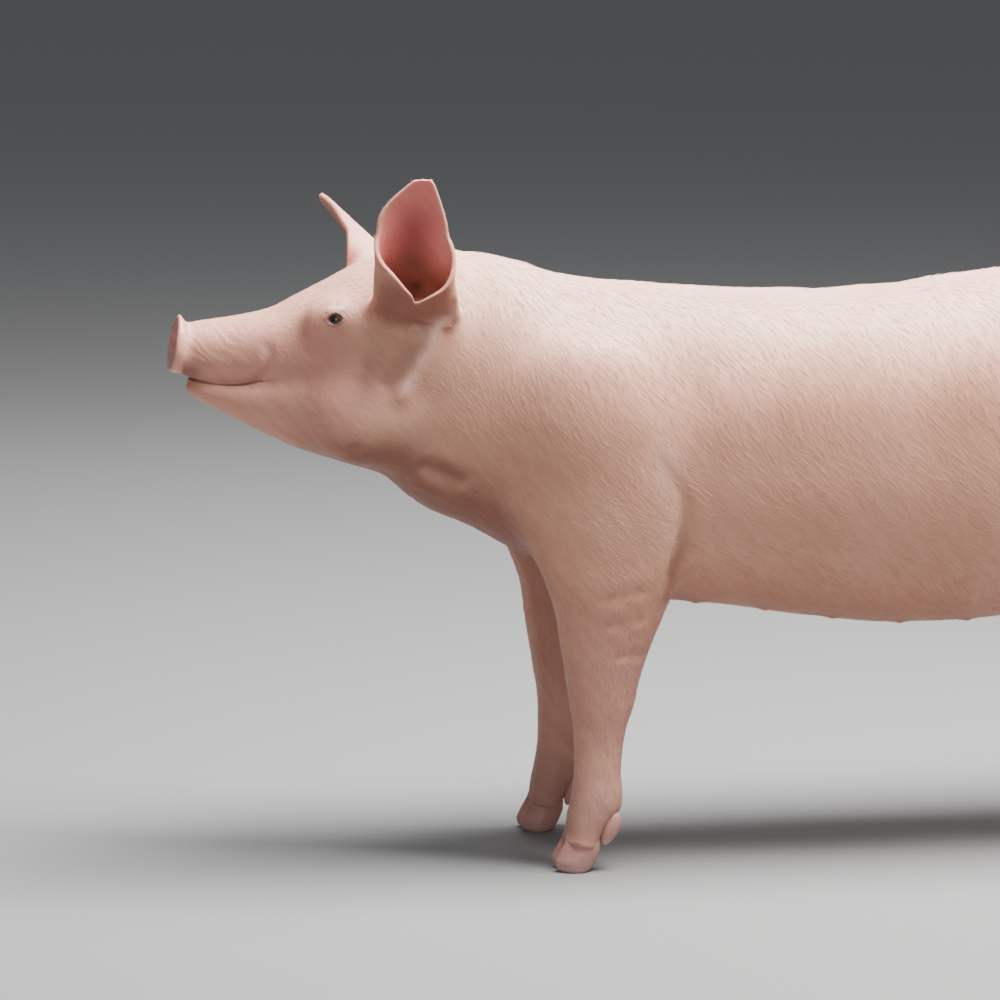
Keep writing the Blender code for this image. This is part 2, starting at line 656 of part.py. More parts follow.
def dewclaw(name, x, y, outward, grow=0.0):
    """A rounded horn behind the pastern, pointing down and forward."""
    bm = bmesh.new()
    bmesh.ops.create_icosphere(bm, subdivisions=2, radius=1)
    turn = Matrix.Rotation(math.radians(-outward * 8), 3, "Y") @ Matrix.Rotation(math.radians(-24), 3, "X")
    for v in bm.verts:
        taper = 0.80 + 0.20 * v.co.z
        wide, long, tall = SPUR_RADII[0] * taper + grow, SPUR_RADII[1] * taper + grow, SPUR_RADII[2] + grow
        v.co = turn @ Vector((v.co.x * wide, v.co.y * long, v.co.z * tall)) + Vector((x, y, SPUR_Z))
    return from_bmesh(name, bm)


# ---------------------------------------------------------------- finishes

FINISHES = {
    "skin": ((0.62, 0.40, 0.34), 0.55),
    "snout": ((0.68, 0.40, 0.36), 0.40),
    "ear": ((0.60, 0.33, 0.29), 0.50),
    "horn": ((0.50, 0.33, 0.26), 0.45),
    "eye": ((0.020, 0.012, 0.012), 0.05),
}


def finish(thing, kind):
    """A material of the piece's own, in one of the finishes."""
    colour, roughness = FINISHES[kind]
    material = bpy.data.materials.new(thing.name + "_" + kind)
    material.use_nodes = True
    shader = material.node_tree.nodes["Principled BSDF"]
    shader.inputs["Base Color"].default_value = (*colour, 1)
    shader.inputs["Roughness"].default_value = roughness
    shader.inputs["Metallic"].default_value = 0.0
    thing.data.materials.clear()
    thing.data.materials.append(material)
    thing.data.shade_smooth()
    thing.data.set_sharp_from_angle(angle=math.radians(50))


# ---------------------------------------------------------------- assembly

body = whole_body()
thin(body, BODY_TRIANGLES)

for side, name in ((1, "left"), (-1, "right")):
    ear, cut = EARS[name], EAR_CUT[name]
    bm = bmesh.new()
    ear.mesh(bm, cut + CUT / ear.length, 12, 8)
    finish(from_bmesh("ear_" + name, bm), "ear")
    above_the_head = [
        (ear.base + cut * ear.length * ear.up, -ear.up),
        ((side * 0.035, 0, 0), (-side, 0, 0)),
        ((0, -0.040, 0), (0, 1, 0)),
        ((0, 0, 0.638), (0, 0, -1)),
    ]
    leaf = region(above_the_head, 0)
    boolean(body, leaf, "DIFFERENCE")
    bpy.data.objects.remove(leaf)

behind_the_rump = [((0, 0.868, 0), (0, -1, 0)), ((0, 0, 0.488), (0, 0, -1)), ((0.025, 0, 0), (1, 0, 0))]
finish(part_off(body, "tail", behind_the_rump), "skin")

for side, name in ((1, "left"), (-1, "right")):
    below_the_elbow = [
        ((0, 0.030, 0.338), (0, -0.05, 1)),
        ((side * 0.052, 0, 0.300), (-side, 0, 0.10)),
        ((0, 0.118, 0), (0, 1, 0)),
    ]
    below_the_stifle = [
        ((0, 0.700, 0.425), (0, -0.10, 1)),
        ((side * 0.040, 0, 0.300), (-side, 0, 0.25)),
        ((0, 0.565, 0.340), (0, -1, -0.30)),
    ]
    for fore, planes, foot_y in (
        ("fore", below_the_elbow, FORE_FOOT_Y),
        ("hind", below_the_stifle, HIND_FOOT_Y),
    ):
        leg = part_off(body, fore + "_leg_" + name, planes)
        horn = region([coronet(foot_y)], CUT / 2)
        boolean(leg, horn, "DIFFERENCE")
        bpy.data.objects.remove(horn)
        for out, place in ((1, "outer"), (-1, "inner")):
            x = side * (LEG_X + out * CLAW_X)
            finish(hoof("_".join(("hoof", fore, name, place)), x, foot_y, -side * out), "horn")
            spur = (side * (LEG_X + out * SPUR_X), foot_y + SPUR_Y, side * out)
            socket = dewclaw("socket", *spur, grow=SPUR_SOCKET_GAP)
            boolean(leg, socket, "DIFFERENCE")
            bpy.data.objects.remove(socket)
            finish(dewclaw("_".join(("dewclaw", fore, name, place)), *spur), "horn")
        finish(leg, "skin")

under_the_mouth = [((0, -0.370, 0.5425), (0, 0, 1)), ((0, -0.318, 0.543), (0, 0.83, 0.56))]
finish(part_off(body, "lower_jaw", under_the_mouth), "skin")
finish(part_off(body, "snout", [((0, -0.400, 0.570), (0, 1, 0.05))]), "snout")
head = part_off(body, "head", [((0, -0.135, 0.540), (0, 0.978, -0.210))])
for side, name in ((1, "left"), (-1, "right")):
    for cutter in (eyeball("socket", side, EYE_RADIUS + CUT / 2), lid_opening(side)):
        boolean(head, cutter, "DIFFERENCE")
        bpy.data.objects.remove(cutter)
    finish(eyeball("eye_" + name, side, EYE_RADIUS), "eye")
finish(head, "skin")
finish(part_off(body, "neck", [((0, -0.015, 0.490), (0, 0.983, -0.184))]), "skin")

body.name = "trunk"
finish(body, "skin")
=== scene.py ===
"""A young Large White gilt, life size, standing square with its head up: one skin in place of the solids of
flesh, with lids, nostrils, lips and folds, wet eyes, horn hooves and a sparse coat of white bristles.

Metres, +Z up. The head points to -Y and the left side is at +X.
"""

import math

import bmesh
import bpy
import numpy as np
from mathutils import Matrix, Vector


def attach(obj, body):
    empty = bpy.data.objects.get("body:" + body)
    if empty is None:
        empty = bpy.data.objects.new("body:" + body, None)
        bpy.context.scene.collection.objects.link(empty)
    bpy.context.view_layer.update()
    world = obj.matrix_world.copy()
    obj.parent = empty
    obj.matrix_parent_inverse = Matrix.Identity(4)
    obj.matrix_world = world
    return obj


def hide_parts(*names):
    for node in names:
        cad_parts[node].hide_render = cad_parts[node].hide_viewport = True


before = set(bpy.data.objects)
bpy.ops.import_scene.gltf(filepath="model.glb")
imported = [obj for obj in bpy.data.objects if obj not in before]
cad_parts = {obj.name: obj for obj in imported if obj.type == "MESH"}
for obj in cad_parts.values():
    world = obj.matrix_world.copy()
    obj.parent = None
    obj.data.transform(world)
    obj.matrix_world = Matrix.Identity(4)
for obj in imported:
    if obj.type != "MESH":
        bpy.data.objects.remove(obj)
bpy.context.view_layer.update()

# ---------------------------------------------------------------- skin
# The skin is one closed sheet over the head, neck, trunk, legs, tail and ears. It is worked out from the
# sections of the body and the muscles that show through, lies under the coat, and is pressed in or raised at
# the lids, nostrils, lips, folds, toes and teats.

MIDDLE_Y = 0.2490  # from the line of the front hooves to the middle of the animal, which is y = 0
LEG_X = 0.110  # from the middle plane to the middle of a foot
FAR_AWAY = 9.0  # farther off than anything on the animal


def smooth_table(rows, steps=240):
    """The rows of a station table, made denser with a curve through them that never overshoots."""
    rows = np.array(rows, float)
    at, values = rows[:, 0], rows[:, 1:]
    gap = np.diff(at)[:, None]
    rise = np.diff(values, axis=0) / gap
    slope = np.zeros_like(values)
    same_way = rise[:-1] * rise[1:] > 0
    inner = 2 * rise[:-1] * rise[1:] / np.where(same_way, rise[:-1] + rise[1:], 1)
    slope[1:-1] = np.where(same_way, inner, 0)
    slope[0], slope[-1] = rise[0], rise[-1]
    fine = np.linspace(at[0], at[-1], steps)
    k = np.clip(np.searchsorted(at, fine, side="right") - 1, 0, len(at) - 2)
    u = ((fine - at[k]) / np.diff(at)[k])[:, None]
    low, high = values[k], values[k + 1]
    bend = (u**3 - 2 * u**2 + u) * slope[k] + (u**3 - u**2) * slope[k + 1]
    curve = (2 * u**3 - 3 * u**2 + 1) * low + (3 * u**2 - 2 * u**3) * high + bend * gap[k]
    return fine, curve


def blend(a, b, k):
    """Union of two distance fields with a fillet of about k."""
    h = np.maximum(k - np.abs(a - b), 0) / k
    return np.minimum(a, b) - h * h * k / 4


def ease(low, high, value):
    """0 below low, 1 above high, and a smooth rise between them."""
    u = np.clip((value - low) / (high - low), 0, 1)
    return u * u * (3 - 2 * u)


def bump(value, middle, width):
    """1 at the middle, falling away as a bell."""
    return np.exp(-(((value - middle) / width) ** 2))


class Loft:
    """Superellipse sections stacked along Y (the body) or Z (a leg).

    A station is: place, low edge, belt, high edge, middle, half width, low power, high power. Low, belt and
    high lie along Z for a body and along Y for a leg; the middle and the half width lie along X.
    """

    def __init__(self, along, stations, rounding):
        self.t, self.b = (1, 2) if along == "Y" else (2, 1)
        self.rounding = rounding
        self.at, self.table = smooth_table(stations)
        low, high = np.zeros(3), np.zeros(3)
        low[self.t], high[self.t] = self.at[0], self.at[-1]
        low[self.b], high[self.b] = self.table[:, 0].min(), self.table[:, 2].max()
        low[0] = (self.table[:, 3] - self.table[:, 4]).min()
        high[0] = (self.table[:, 3] + self.table[:, 4]).max()
        self.box = (low, high)

    def section(self, t):
        return [np.interp(t, self.at, column) for column in self.table.T]

    def distance(self, p):
        t = p[:, self.t]
        low, belt, high, middle, half, n_low, n_high = self.section(t)
        x, b = np.abs(p[:, 0] - middle), p[:, self.b] - belt
        reach = np.where(b < 0, belt - low, high - belt)
        n = np.where(b < 0, n_low, n_high)
        u, v = x / half + 1e-9, np.abs(b) / reach + 1e-9
        rho = (u**n + v**n) ** (1 / n)
        slope = np.hypot((u / rho) ** (n - 1) / half, (v / rho) ** (n - 1) / reach)
        side = (rho - 1) / slope
        end = np.maximum(self.at[0] - t, t - self.at[-1])
        return -blend(-side, -end, self.rounding)

    def mesh(self, bm, first=-math.inf, rings=40, spokes=32):
        """A rough closed skin over the sections, for the remesh to start from."""
        loops = []
        low = max(first, self.at[0] + 0.25 * self.rounding)
        for t in np.linspace(low, self.at[-1] - 0.25 * self.rounding, rings):
            low, belt, high, middle, half, n_low, n_high = self.section(t)
            loop = []
            for k in range(spokes):
                angle = 2 * math.pi * k / spokes
                c, s = math.cos(angle), math.sin(angle)
                n = n_low if s < 0 else n_high
                x = middle + half * math.copysign(abs(c) ** (2 / n), c)
                b = belt + (belt - low if s < 0 else high - belt) * math.copysign(abs(s) ** (2 / n), s)
                loop.append(bm.verts.new((x, t, b) if self.t == 1 else (x, b, t)))
            loops.append(loop)
        sew(bm, loops)


class Muscle:
    """An ellipsoid: middle, three radii, and how it is turned about X, Y and Z in degrees."""

    def __init__(self, middle, radii, turn=(0, 0, 0)):
        self.middle, self.radii = np.array(middle, float), np.array(radii, float)
        turned = [Matrix.Rotation(math.radians(a), 3, axis) for a, axis in zip(turn, "XYZ")]
        self.frame = np.array(turned[2] @ turned[1] @ turned[0])
        reach = max(radii)
        self.box = (self.middle - reach, self.middle + reach)

    def distance(self, p):
        q = (p - self.middle) @ self.frame
        k = np.linalg.norm(q / self.radii, axis=1) + 1e-9
        return k * (k - 1) / (np.linalg.norm(q / self.radii**2, axis=1) + 1e-9)

    def mesh(self, bm):
        made = bmesh.ops.create_icosphere(bm, subdivisions=3, radius=1)["verts"]
        for v in made:
            v.co = Vector(self.middle + self.frame @ (np.array(v.co) * self.radii))


class Disc:
    """An oval disc that faces forward, narrower and thinner towards its top: the middle of its front face,
    half width and half height, thickness, lean, and rounding."""

    NARROWER, THINNER = 0.16, 0.40  # how much narrower, and how much thinner, its top is than its middle

    def __init__(self, middle, radii, thickness, lean, rounding):
        self.middle, self.radii = np.array(middle, float), np.array(radii, float)
        self.thickness, self.rounding = thickness, rounding
        self.frame = np.array(Matrix.Rotation(math.radians(lean), 3, "X"))
        self.box = (self.middle - 1.3 * max(radii), self.middle + 1.3 * max(radii))

    def place(self, p):
        """Where points are on the disc: sideways, behind its front face, up, share of the way to the rim, and
        how fast that share grows."""
        q = (p - self.middle) @ self.frame
        height = np.clip(q[:, 2] / self.radii[1], -1, 1)
        half = self.radii[0] * (1 - self.NARROWER * height)
        u, v = np.abs(q[:, 0]) / half + 1e-9, np.abs(q[:, 2]) / self.radii[1] + 1e-9
        rho = (u**2.3 + v**2.3) ** (1 / 2.3)
        growth = np.hypot((u / rho) ** 1.3 / half, (v / rho) ** 1.3 / self.radii[1])
        return q[:, 0], q[:, 1], q[:, 2], rho, growth

    def distance(self, p):
        _, behind, up, rho, growth = self.place(p)
        thickness = self.thickness * (1 - self.THINNER * np.clip(up / self.radii[1], -1, 1))
        faces = np.minimum(behind, thickness - behind)
        return -blend((1 - rho) / growth, faces, self.rounding)

    def mesh(self, bm):
        loops = []
        wide, high = self.radii
        for share in (0.1, 1.1):
            turns = [2 * math.pi * k / 24 for k in range(24)]
            ring = [(wide * math.cos(a), share * self.thickness, high * math.sin(a)) for a in turns]
            loops.append([bm.verts.new(self.middle + self.frame @ np.array(c)) for c in ring])
        sew(bm, loops)


class Ear:
    """A leaf of gristle curled round its own spine.

    The spine runs from base to tip, and bends towards the opening. Each station is: share of the length,
    radius of the curl, how far the leaf reaches from the spine to its front and back margins, measured round
    the curl, and the curl's depth as a share of its width.
    """

    LEAF = [
        (0.00, 0.042, 0.130, 0.127, 0.30),
        (0.15, 0.041, 0.128, 0.125, 0.42),
        (0.22, 0.040, 0.127, 0.122, 0.50),
        (0.30, 0.0405, 0.125, 0.108, 0.56),
        (0.37, 0.041, 0.117, 0.088, 0.60),
        (0.44, 0.041, 0.104, 0.070, 0.62),
        (0.50, 0.042, 0.088, 0.056, 0.62),
        (0.58, 0.044, 0.067, 0.043, 0.62),
        (0.64, 0.048, 0.054, 0.033, 0.62),
        (0.72, 0.055, 0.049, 0.028, 0.62),
        (0.80, 0.062, 0.0385, 0.0225, 0.62),
        (0.90, 0.068, 0.0210, 0.0150, 0.62),
        (0.96, 0.072, 0.0100, 0.0100, 0.62),
        (0.985, 0.074, 0.0050, 0.0062, 0.62),
        (1.00, 0.075, 0.0010, 0.0010, 0.62),
    ]
    EXTRA = 0.010  # how much thicker the rough leaf is than the true one, so that the remesh keeps it whole

    def __init__(self, side, base, tip, opening, thickness, bend, flatness):
        self.base, tip = np.array(base, float), np.array(tip, float)
        spine = tip - self.base
        self.length = np.linalg.norm(spine)
        self.up = spine / self.length
        opening = np.array(opening, float)
        opening = opening - self.up * (opening @ self.up)
        self.out = opening / np.linalg.norm(opening)
        self.fore = np.cross(self.out, self.up) * side
        self.side, self.thickness, self.bend = side, thickness, bend
        self.at, self.table = smooth_table(self.LEAF)
        self.table[:, 0] *= 1 + (flatness - 1) * self.at
        ends = np.array([self.base, tip])
        self.box = (ends.min(0) - 0.085, ends.max(0) + 0.085)

    def bent(self, v):
        """How far the spine has left the straight line from base to tip, towards the opening."""
        return self.bend * v * (1.6 - v) / 0.6

    def spot(self, v, reach):
        """The point at share v of the length, reach metres round the curl from the spine, front positive."""
        radius, depth = [float(np.interp(v, self.at, column)) for column in self.table[:, (0, 3)].T]
        angle = reach / radius
        out = depth * radius * (1 - math.cos(angle)) + self.bent(v)
        return self.base + self.up * v * self.length + self.out * out + self.fore * radius * math.sin(angle)

    def place(self, p):
        """Where points are on the leaf: share of the length, reach round the curl, share of the way to the
        nearer margin, how far inside the curl, and how far from the middle of the wall."""
        q = p - self.base
        along = q @ self.up
        v = np.clip(along / self.length, 0, 1)
        radius, front, back, depth = [np.interp(v, self.at, column) for column in self.table.T]
        out, fore = q @ self.out - depth * radius - self.bent(v), q @ self.fore
        middle, half = (front - back) / radius / 2, (front + back) / radius / 2
        angle = np.arctan2(fore, -out / depth) - middle
        angle = np.clip((angle + math.pi) % (2 * math.pi) - math.pi, -half, half) + middle
        gap_out, gap_fore = out + depth * radius * np.cos(angle), fore - radius * np.sin(angle)
        beyond = along - v * self.length
        gap = np.sqrt(gap_out**2 + gap_fore**2 + beyond**2)
        reach = angle * radius
        margin = np.where(reach > 0, reach / front, -reach / back)
        inside = radius - np.hypot(out / depth, fore)
        return v, reach, margin, inside, gap

    def distance(self, p):
        v, _, _, _, gap = self.place(p)
        return gap - self.thickness * (1 - 0.45 * v) / 2

    def mesh(self, bm, rows=30, columns=20):
        """The leaf with rounded margins, thicker than it is."""
        loops = []
        for v in np.linspace(0, 0.985, rows):
            front, back = [float(np.interp(v, self.at, column)) for column in self.table[:, 1:3].T]
            middle = np.array([self.spot(v, reach) for reach in np.linspace(-back, front, columns)])
            along = np.gradient(middle, axis=0)
            along /= np.linalg.norm(along, axis=1)[:, None]
            half = (self.thickness * (1 - 0.45 * v) + self.EXTRA) / 2
            outer = middle + half * np.cross(along, self.up)
            inner = middle - half * np.cross(along, self.up)
            margins = (middle[-1] + half * along[-1], middle[0] - half * along[0])
            loop = [*outer, margins[0], *inner[::-1], margins[1]]
            loops.append([bm.verts.new(spot) for spot in loop])
        sew(bm, loops)


class Fold:
    """A rounded roll along a line of spots, with a radius at each."""

    def __init__(self, line, radii):
        self.line, self.radii = np.array(line, float), np.array(radii, float)
        self.box = (self.line.min(0) - self.radii.max(), self.line.max(0) + self.radii.max())

    def nearest(self, p):
        """Distance from the surface, and which stretch of the line is nearest, for each point."""
        best, which = np.full(len(p), FAR_AWAY), np.zeros(len(p), int)
        for k, (a, b, ra, rb) in enumerate(zip(self.line, self.line[1:], self.radii, self.radii[1:])):
            u = np.clip((p - a) @ (b - a) / ((b - a) @ (b - a)), 0, 1)
            gap = np.linalg.norm(p - a - u[:, None] * (b - a), axis=1) - ra - (rb - ra) * u
            which = np.where(gap < best, k, which)
            best = np.minimum(best, gap)
        return best, which

    def distance(self, p):
        return self.nearest(p)[0]

    def mesh(self, bm, spokes=12):
        loops = []
        for k, (spot, radius) in enumerate(zip(self.line, self.radii)):
            ahead = self.line[min(k + 1, len(self.line) - 1)] - self.line[max(k - 1, 0)]
            ahead /= np.linalg.norm(ahead)
            across = np.cross(ahead, (1, 0, 0))
            across /= np.linalg.norm(across)
            other = np.cross(ahead, across)
            turns = [2 * math.pi * j / spokes for j in range(spokes)]
            ring = [spot + radius * (math.cos(a) * across + math.sin(a) * other) for a in turns]
            loops.append([bm.verts.new(place) for place in ring])
        sew(bm, loops)


class Tail(Fold):
    """A tapering tail that leaves the rump, drops, and makes one turn of a curl to the right."""

    ROOT, TIP = 0.015, 0.0045  # radius at the rump and at the tip
    CURL, PITCH, TURNS = 0.024, 0.022, 1.25  # radius of the curl, sideways travel for each turn, turns

    def __init__(self, start, spots=44):
        start = np.array(start, float)
        stalk = [start + np.array((0, 0.094 * u, -0.004 * u - 0.018 * u * u)) for u in np.linspace(0, 1, 9)]
        end = stalk[-1]
        fall = math.atan2(-(end - stalk[-2])[2], (end - stalk[-2])[1])
        curl = []
        for u in np.linspace(0, 1, spots)[1:]:
            angle = fall + 2 * math.pi * self.TURNS * u
            centre = end + self.CURL * np.array((0, -math.sin(fall), -math.cos(fall)))
            tight = self.CURL * (1 - 0.25 * u)
            side = -self.PITCH * self.TURNS * u
            curl.append(centre + np.array((side, tight * math.sin(angle), tight * math.cos(angle))))
        line = np.array(stalk + curl)
        run = np.concatenate(([0], np.cumsum(np.linalg.norm(np.diff(line, axis=0), axis=1))))
        super().__init__(line, self.ROOT + (self.TIP - self.ROOT) * (run / run[-1]) ** 0.8)


def sew(bm, loops):
    """Faces between neighbouring loops of equal length, with both ends closed."""
    count = len(loops[0])
    for below, above in zip(loops, loops[1:]):
        for k in range(count):
            following = (k + 1) % count
            bm.faces.new((below[k], below[following], above[following], above[k]))
    bm.faces.new(loops[0][::-1])
    bm.faces.new(loops[-1])


neck_and_trunk = Loft(
    "Y",
    [
        (-0.205, 0.440, 0.545, 0.660, 0, 0.084, 2.2, 2.2),
        (-0.150, 0.392, 0.520, 0.675, 0, 0.101, 2.2, 2.2),
        (-0.100, 0.369, 0.500, 0.676, 0, 0.118, 2.2, 2.1),
        (-0.050, 0.341, 0.480, 0.667, 0, 0.132, 2.2, 2.1),
        (0.000, 0.318, 0.465, 0.651, 0, 0.142, 2.2, 2.1),
        (0.050, 0.299, 0.455, 0.643, 0, 0.148, 2.3, 2.2),
        (0.120, 0.282, 0.450, 0.637, 0, 0.153, 2.3, 2.3),
        (0.200, 0.272, 0.450, 0.630, 0, 0.157, 2.3, 2.4),
        (0.290, 0.258, 0.445, 0.627, 0, 0.161, 2.3, 2.5),
        (0.380, 0.249, 0.440, 0.631, 0, 0.164, 2.3, 2.5),
        (0.450, 0.249, 0.440, 0.639, 0, 0.164, 2.3, 2.5),
        (0.520, 0.254, 0.445, 0.647, 0, 0.162, 2.3, 2.5),
        (0.600, 0.278, 0.455, 0.650, 0, 0.158, 2.3, 2.4),
        (0.680, 0.325, 0.470, 0.641, 0, 0.152, 2.2, 2.3),
        (0.760, 0.390, 0.495, 0.618, 0, 0.137, 2.1, 2.2),
        (0.840, 0.450, 0.515, 0.580, 0, 0.100, 2.0, 2.0),
    ],
    rounding=0.05,
)
upper_head = Loft(
    "Y",
    [
        (-0.422, 0.552, 0.574, 0.599, 0, 0.029, 2.3, 2.2),
        (-0.400, 0.541, 0.570, 0.6035, 0, 0.033, 2.4, 2.2),
        (-0.360, 0.537, 0.568, 0.6085, 0, 0.0395, 2.4, 2.3),
        (-0.320, 0.532, 0.568, 0.616, 0, 0.050, 2.3, 2.4),
        (-0.290, 0.525, 0.570, 0.630, 0, 0.060, 2.3, 2.4),
        (-0.258, 0.515, 0.575, 0.645, 0, 0.070, 2.2, 2.5),
        (-0.225, 0.505, 0.580, 0.661, 0, 0.078, 2.2, 2.5),
        (-0.180, 0.495, 0.585, 0.672, 0, 0.084, 2.2, 2.4),
        (-0.130, 0.485, 0.585, 0.672, 0, 0.088, 2.2, 2.2),
    ],
    rounding=0.012,
)
lower_head = Loft(
    "Y",
    [
        (-0.412, 0.521, 0.531, 0.540, 0, 0.018, 2.2, 2.6),
        (-0.395, 0.514, 0.529, 0.543, 0, 0.026, 2.2, 2.6),
        (-0.360, 0.495, 0.522, 0.545, 0, 0.036, 2.2, 2.4),
        (-0.323, 0.476, 0.520, 0.555, 0, 0.048, 2.2, 2.2),
        (-0.285, 0.459, 0.520, 0.565, 0, 0.062, 2.2, 2.2),
        (-0.245, 0.446, 0.515, 0.575, 0, 0.074, 2.2, 2.2),
        (-0.200, 0.431, 0.510, 0.580, 0, 0.083, 2.2, 2.2),
        (-0.165, 0.410, 0.505, 0.580, 0, 0.088, 2.2, 2.2),
    ],
    rounding=0.012,
)
nose_disc = Disc((0, -0.4262, 0.5800), (0.0352, 0.0318), 0.0100, -10, 0.007)
tail = Tail((0, 0.816, 0.572))


def fore_leg(side):
    x = side * LEG_X
    return Loft(
        "Z",
        [
            (0.000, -0.020, 0.004, 0.022, x, 0.0275, 2.3, 2.3),
            (0.030, -0.0130, 0.008, 0.0275, x, 0.0275, 2.3, 2.3),
            (0.045, -0.0095, 0.012, 0.034, x, 0.0270, 2.3, 2.3),
            (0.058, -0.0080, 0.017, 0.044, x, 0.0270, 2.3, 2.3),
            (0.072, -0.0050, 0.022, 0.0535, x, 0.0268, 2.2, 2.2),
            (0.088, -0.0020, 0.025, 0.0545, x, 0.0260, 2.2, 2.2),
            (0.105, -0.0003, 0.026, 0.0525, x, 0.024, 2.2, 2.2),
            (0.130, 0.000, 0.027, 0.054, x, 0.0235, 2.2, 2.2),
            (0.160, -0.002, 0.028, 0.060, x, 0.027, 2.2, 2.2),
            (0.185, -0.007, 0.029, 0.069, x, 0.031, 2.2, 2.1),
            (0.205, -0.010, 0.030, 0.073, x, 0.033, 2.2, 2.1),
            (0.248, -0.017, 0.033, 0.087, x, 0.038, 2.2, 2.1),
            (0.283, -0.022, 0.038, 0.101, x, 0.042, 2.2, 2.1),
            (0.320, -0.034, 0.038, 0.112, x, 0.045, 2.2, 2.1),
            (0.360, -0.050, 0.035, 0.115, x - side * 0.004, 0.046, 2.2, 2.1),
            (0.410, -0.062, 0.030, 0.114, x - side * 0.008, 0.045, 2.2, 2.1),
            (0.470, -0.055, 0.030, 0.100, x - side * 0.018, 0.042, 2.2, 2.2),
        ],
        rounding=0.010,
    )


def hind_leg(side):
    x = side * LEG_X
    return Loft(
        "Z",
        [
            (0.000, 0.690, 0.714, 0.733, x, 0.0275, 2.3, 2.3),
            (0.030, 0.6975, 0.718, 0.7385, x, 0.0275, 2.3, 2.3),
            (0.045, 0.7005, 0.722, 0.745, x, 0.0270, 2.3, 2.3),
            (0.058, 0.7025, 0.728, 0.755, x, 0.0270, 2.3, 2.3),
            (0.072, 0.7060, 0.734, 0.7650, x, 0.0268, 2.2, 2.2),
            (0.088, 0.7110, 0.740, 0.7690, x, 0.0260, 2.2, 2.2),
            (0.110, 0.716, 0.743, 0.770, x, 0.0235, 2.2, 2.2),
            (0.150, 0.719, 0.748, 0.777, x, 0.023, 2.2, 2.2),
            (0.185, 0.716, 0.754, 0.790, x, 0.025, 2.2, 2.2),
            (0.215, 0.704, 0.756, 0.803, x, 0.028, 2.2, 2.1),
            (0.245, 0.680, 0.746, 0.806, x, 0.030, 2.2, 2.1),
            (0.280, 0.640, 0.725, 0.812, x, 0.036, 2.2, 2.1),
            (0.320, 0.592, 0.710, 0.831, x - side * 0.002, 0.046, 2.2, 2.1),
            (0.370, 0.562, 0.705, 0.852, x - side * 0.008, 0.060, 2.2, 2.1),
            (0.430, 0.565, 0.715, 0.866, x - side * 0.015, 0.069, 2.2, 2.1),
            (0.490, 0.600, 0.725, 0.862, x - side * 0.022, 0.072, 2.2, 2.1),
            (0.550, 0.650, 0.740, 0.835, x - side * 0.034, 0.066, 2.2, 2.1),
        ],
        rounding=0.010,
    )


def muscles(side):
    """The muscles that show through the skin on one side: (shape, fillet)."""
    return [
        (Muscle((side * 0.100, 0.030, 0.455), (0.058, 0.085, 0.135), (14, side * 10, 0)), 0.05),  # shoulder
        (Muscle((side * 0.116, 0.046, 0.392), (0.046, 0.070, 0.100), (8, side * 6, 0)), 0.018),  # upper arm
        (Muscle((side * 0.058, -0.215, 0.505), (0.036, 0.062, 0.050), (20, 0, side * 8)), 0.03),  # cheek
        (Muscle((side * 0.0530, -0.2520, 0.605), (0.0168, 0.034, 0.024), (-10, 0, side * 14)), 0.022),  # brow
        (Muscle((side * 0.060, -0.2515, 0.610), (0.0140, 0.019, 0.015), (-10, 0, side * 14)), 0.012),  # lids
        (Muscle((side * 0.070, 0.715, 0.520), (0.078, 0.130, 0.115), (0, 0, 0)), 0.06),  # haunch
    ]


ears = {
    "left": Ear(
        side=1,
        base=(0.060, -0.172, 0.605),
        tip=(0.120, -0.167, 0.770),
        opening=(0.90, -0.20, -0.30),
        thickness=0.0085,
        bend=0.006,
        flatness=1.0,
    ),
    "right": Ear(
        side=-1,
        base=(-0.060, -0.130, 0.617),
        tip=(-0.130, -0.246, 0.729),
        opening=(0.12, -0.73, -0.68),
        thickness=0.0125,
        bend=0.000,
        flatness=1.36,
    ),
}
ear_lobes = [
    Fold(
        [
            (0.1100, -0.1365, 0.654),
            (0.1040, -0.1325, 0.634),
            (0.0945, -0.1325, 0.6155),
            (0.0930, -0.1365, 0.6055),
        ],
        [0.0042, 0.0062, 0.0100, 0.0088],
    ),
    Fold(
        [(-0.106, -0.138, 0.606), (-0.100, -0.130, 0.603), (-0.0945, -0.1225, 0.600)],
        [0.0056, 0.0065, 0.0050],
    ),
]
fore_legs = [fore_leg(1), fore_leg(-1)]
hind_legs = [hind_leg(1), hind_leg(-1)]
CORONET_TILT = 0.28  # how fast the plane where horn meets skin falls towards the heel
CORONET_SLOPE = Vector((0, CORONET_TILT, 1)).normalized()  # normal of that plane
CORONET_HEIGHT = 0.0272
FORE_FOOT_Y, HIND_FOOT_Y = 0.003, 0.714


def above_coronet(leg, foot_y):
    """A leg's field, ended where the skin meets the horn."""
    spot = np.array((0, foot_y, CORONET_HEIGHT))
    return lambda p: -blend(-leg.distance(p), (p - spot) @ np.array(CORONET_SLOPE), 0.003)


body_shapes = [(neck_and_trunk.distance, neck_and_trunk.box, 0.01)]
body_shapes += [(upper_head.distance, upper_head.box, 0.03), (lower_head.distance, lower_head.box, 0.014)]
body_shapes += [(nose_disc.distance, nose_disc.box, 0.012)]
for k, side in enumerate((1, -1)):
    body_shapes += [(shape.distance, shape.box, fillet) for shape, fillet in muscles(side)]
    body_shapes.append((above_coronet(fore_legs[k], FORE_FOOT_Y), fore_legs[k].box, 0.025))
    body_shapes.append((above_coronet(hind_legs[k], HIND_FOOT_Y), hind_legs[k].box, 0.035))
body_shapes += [(ear.distance, ear.box, 0.012) for ear in ears.values()]
body_shapes += [(lobe.distance, lobe.box, 0.005) for lobe in ear_lobes]
body_shapes.append((tail.distance, tail.box, 0.012))


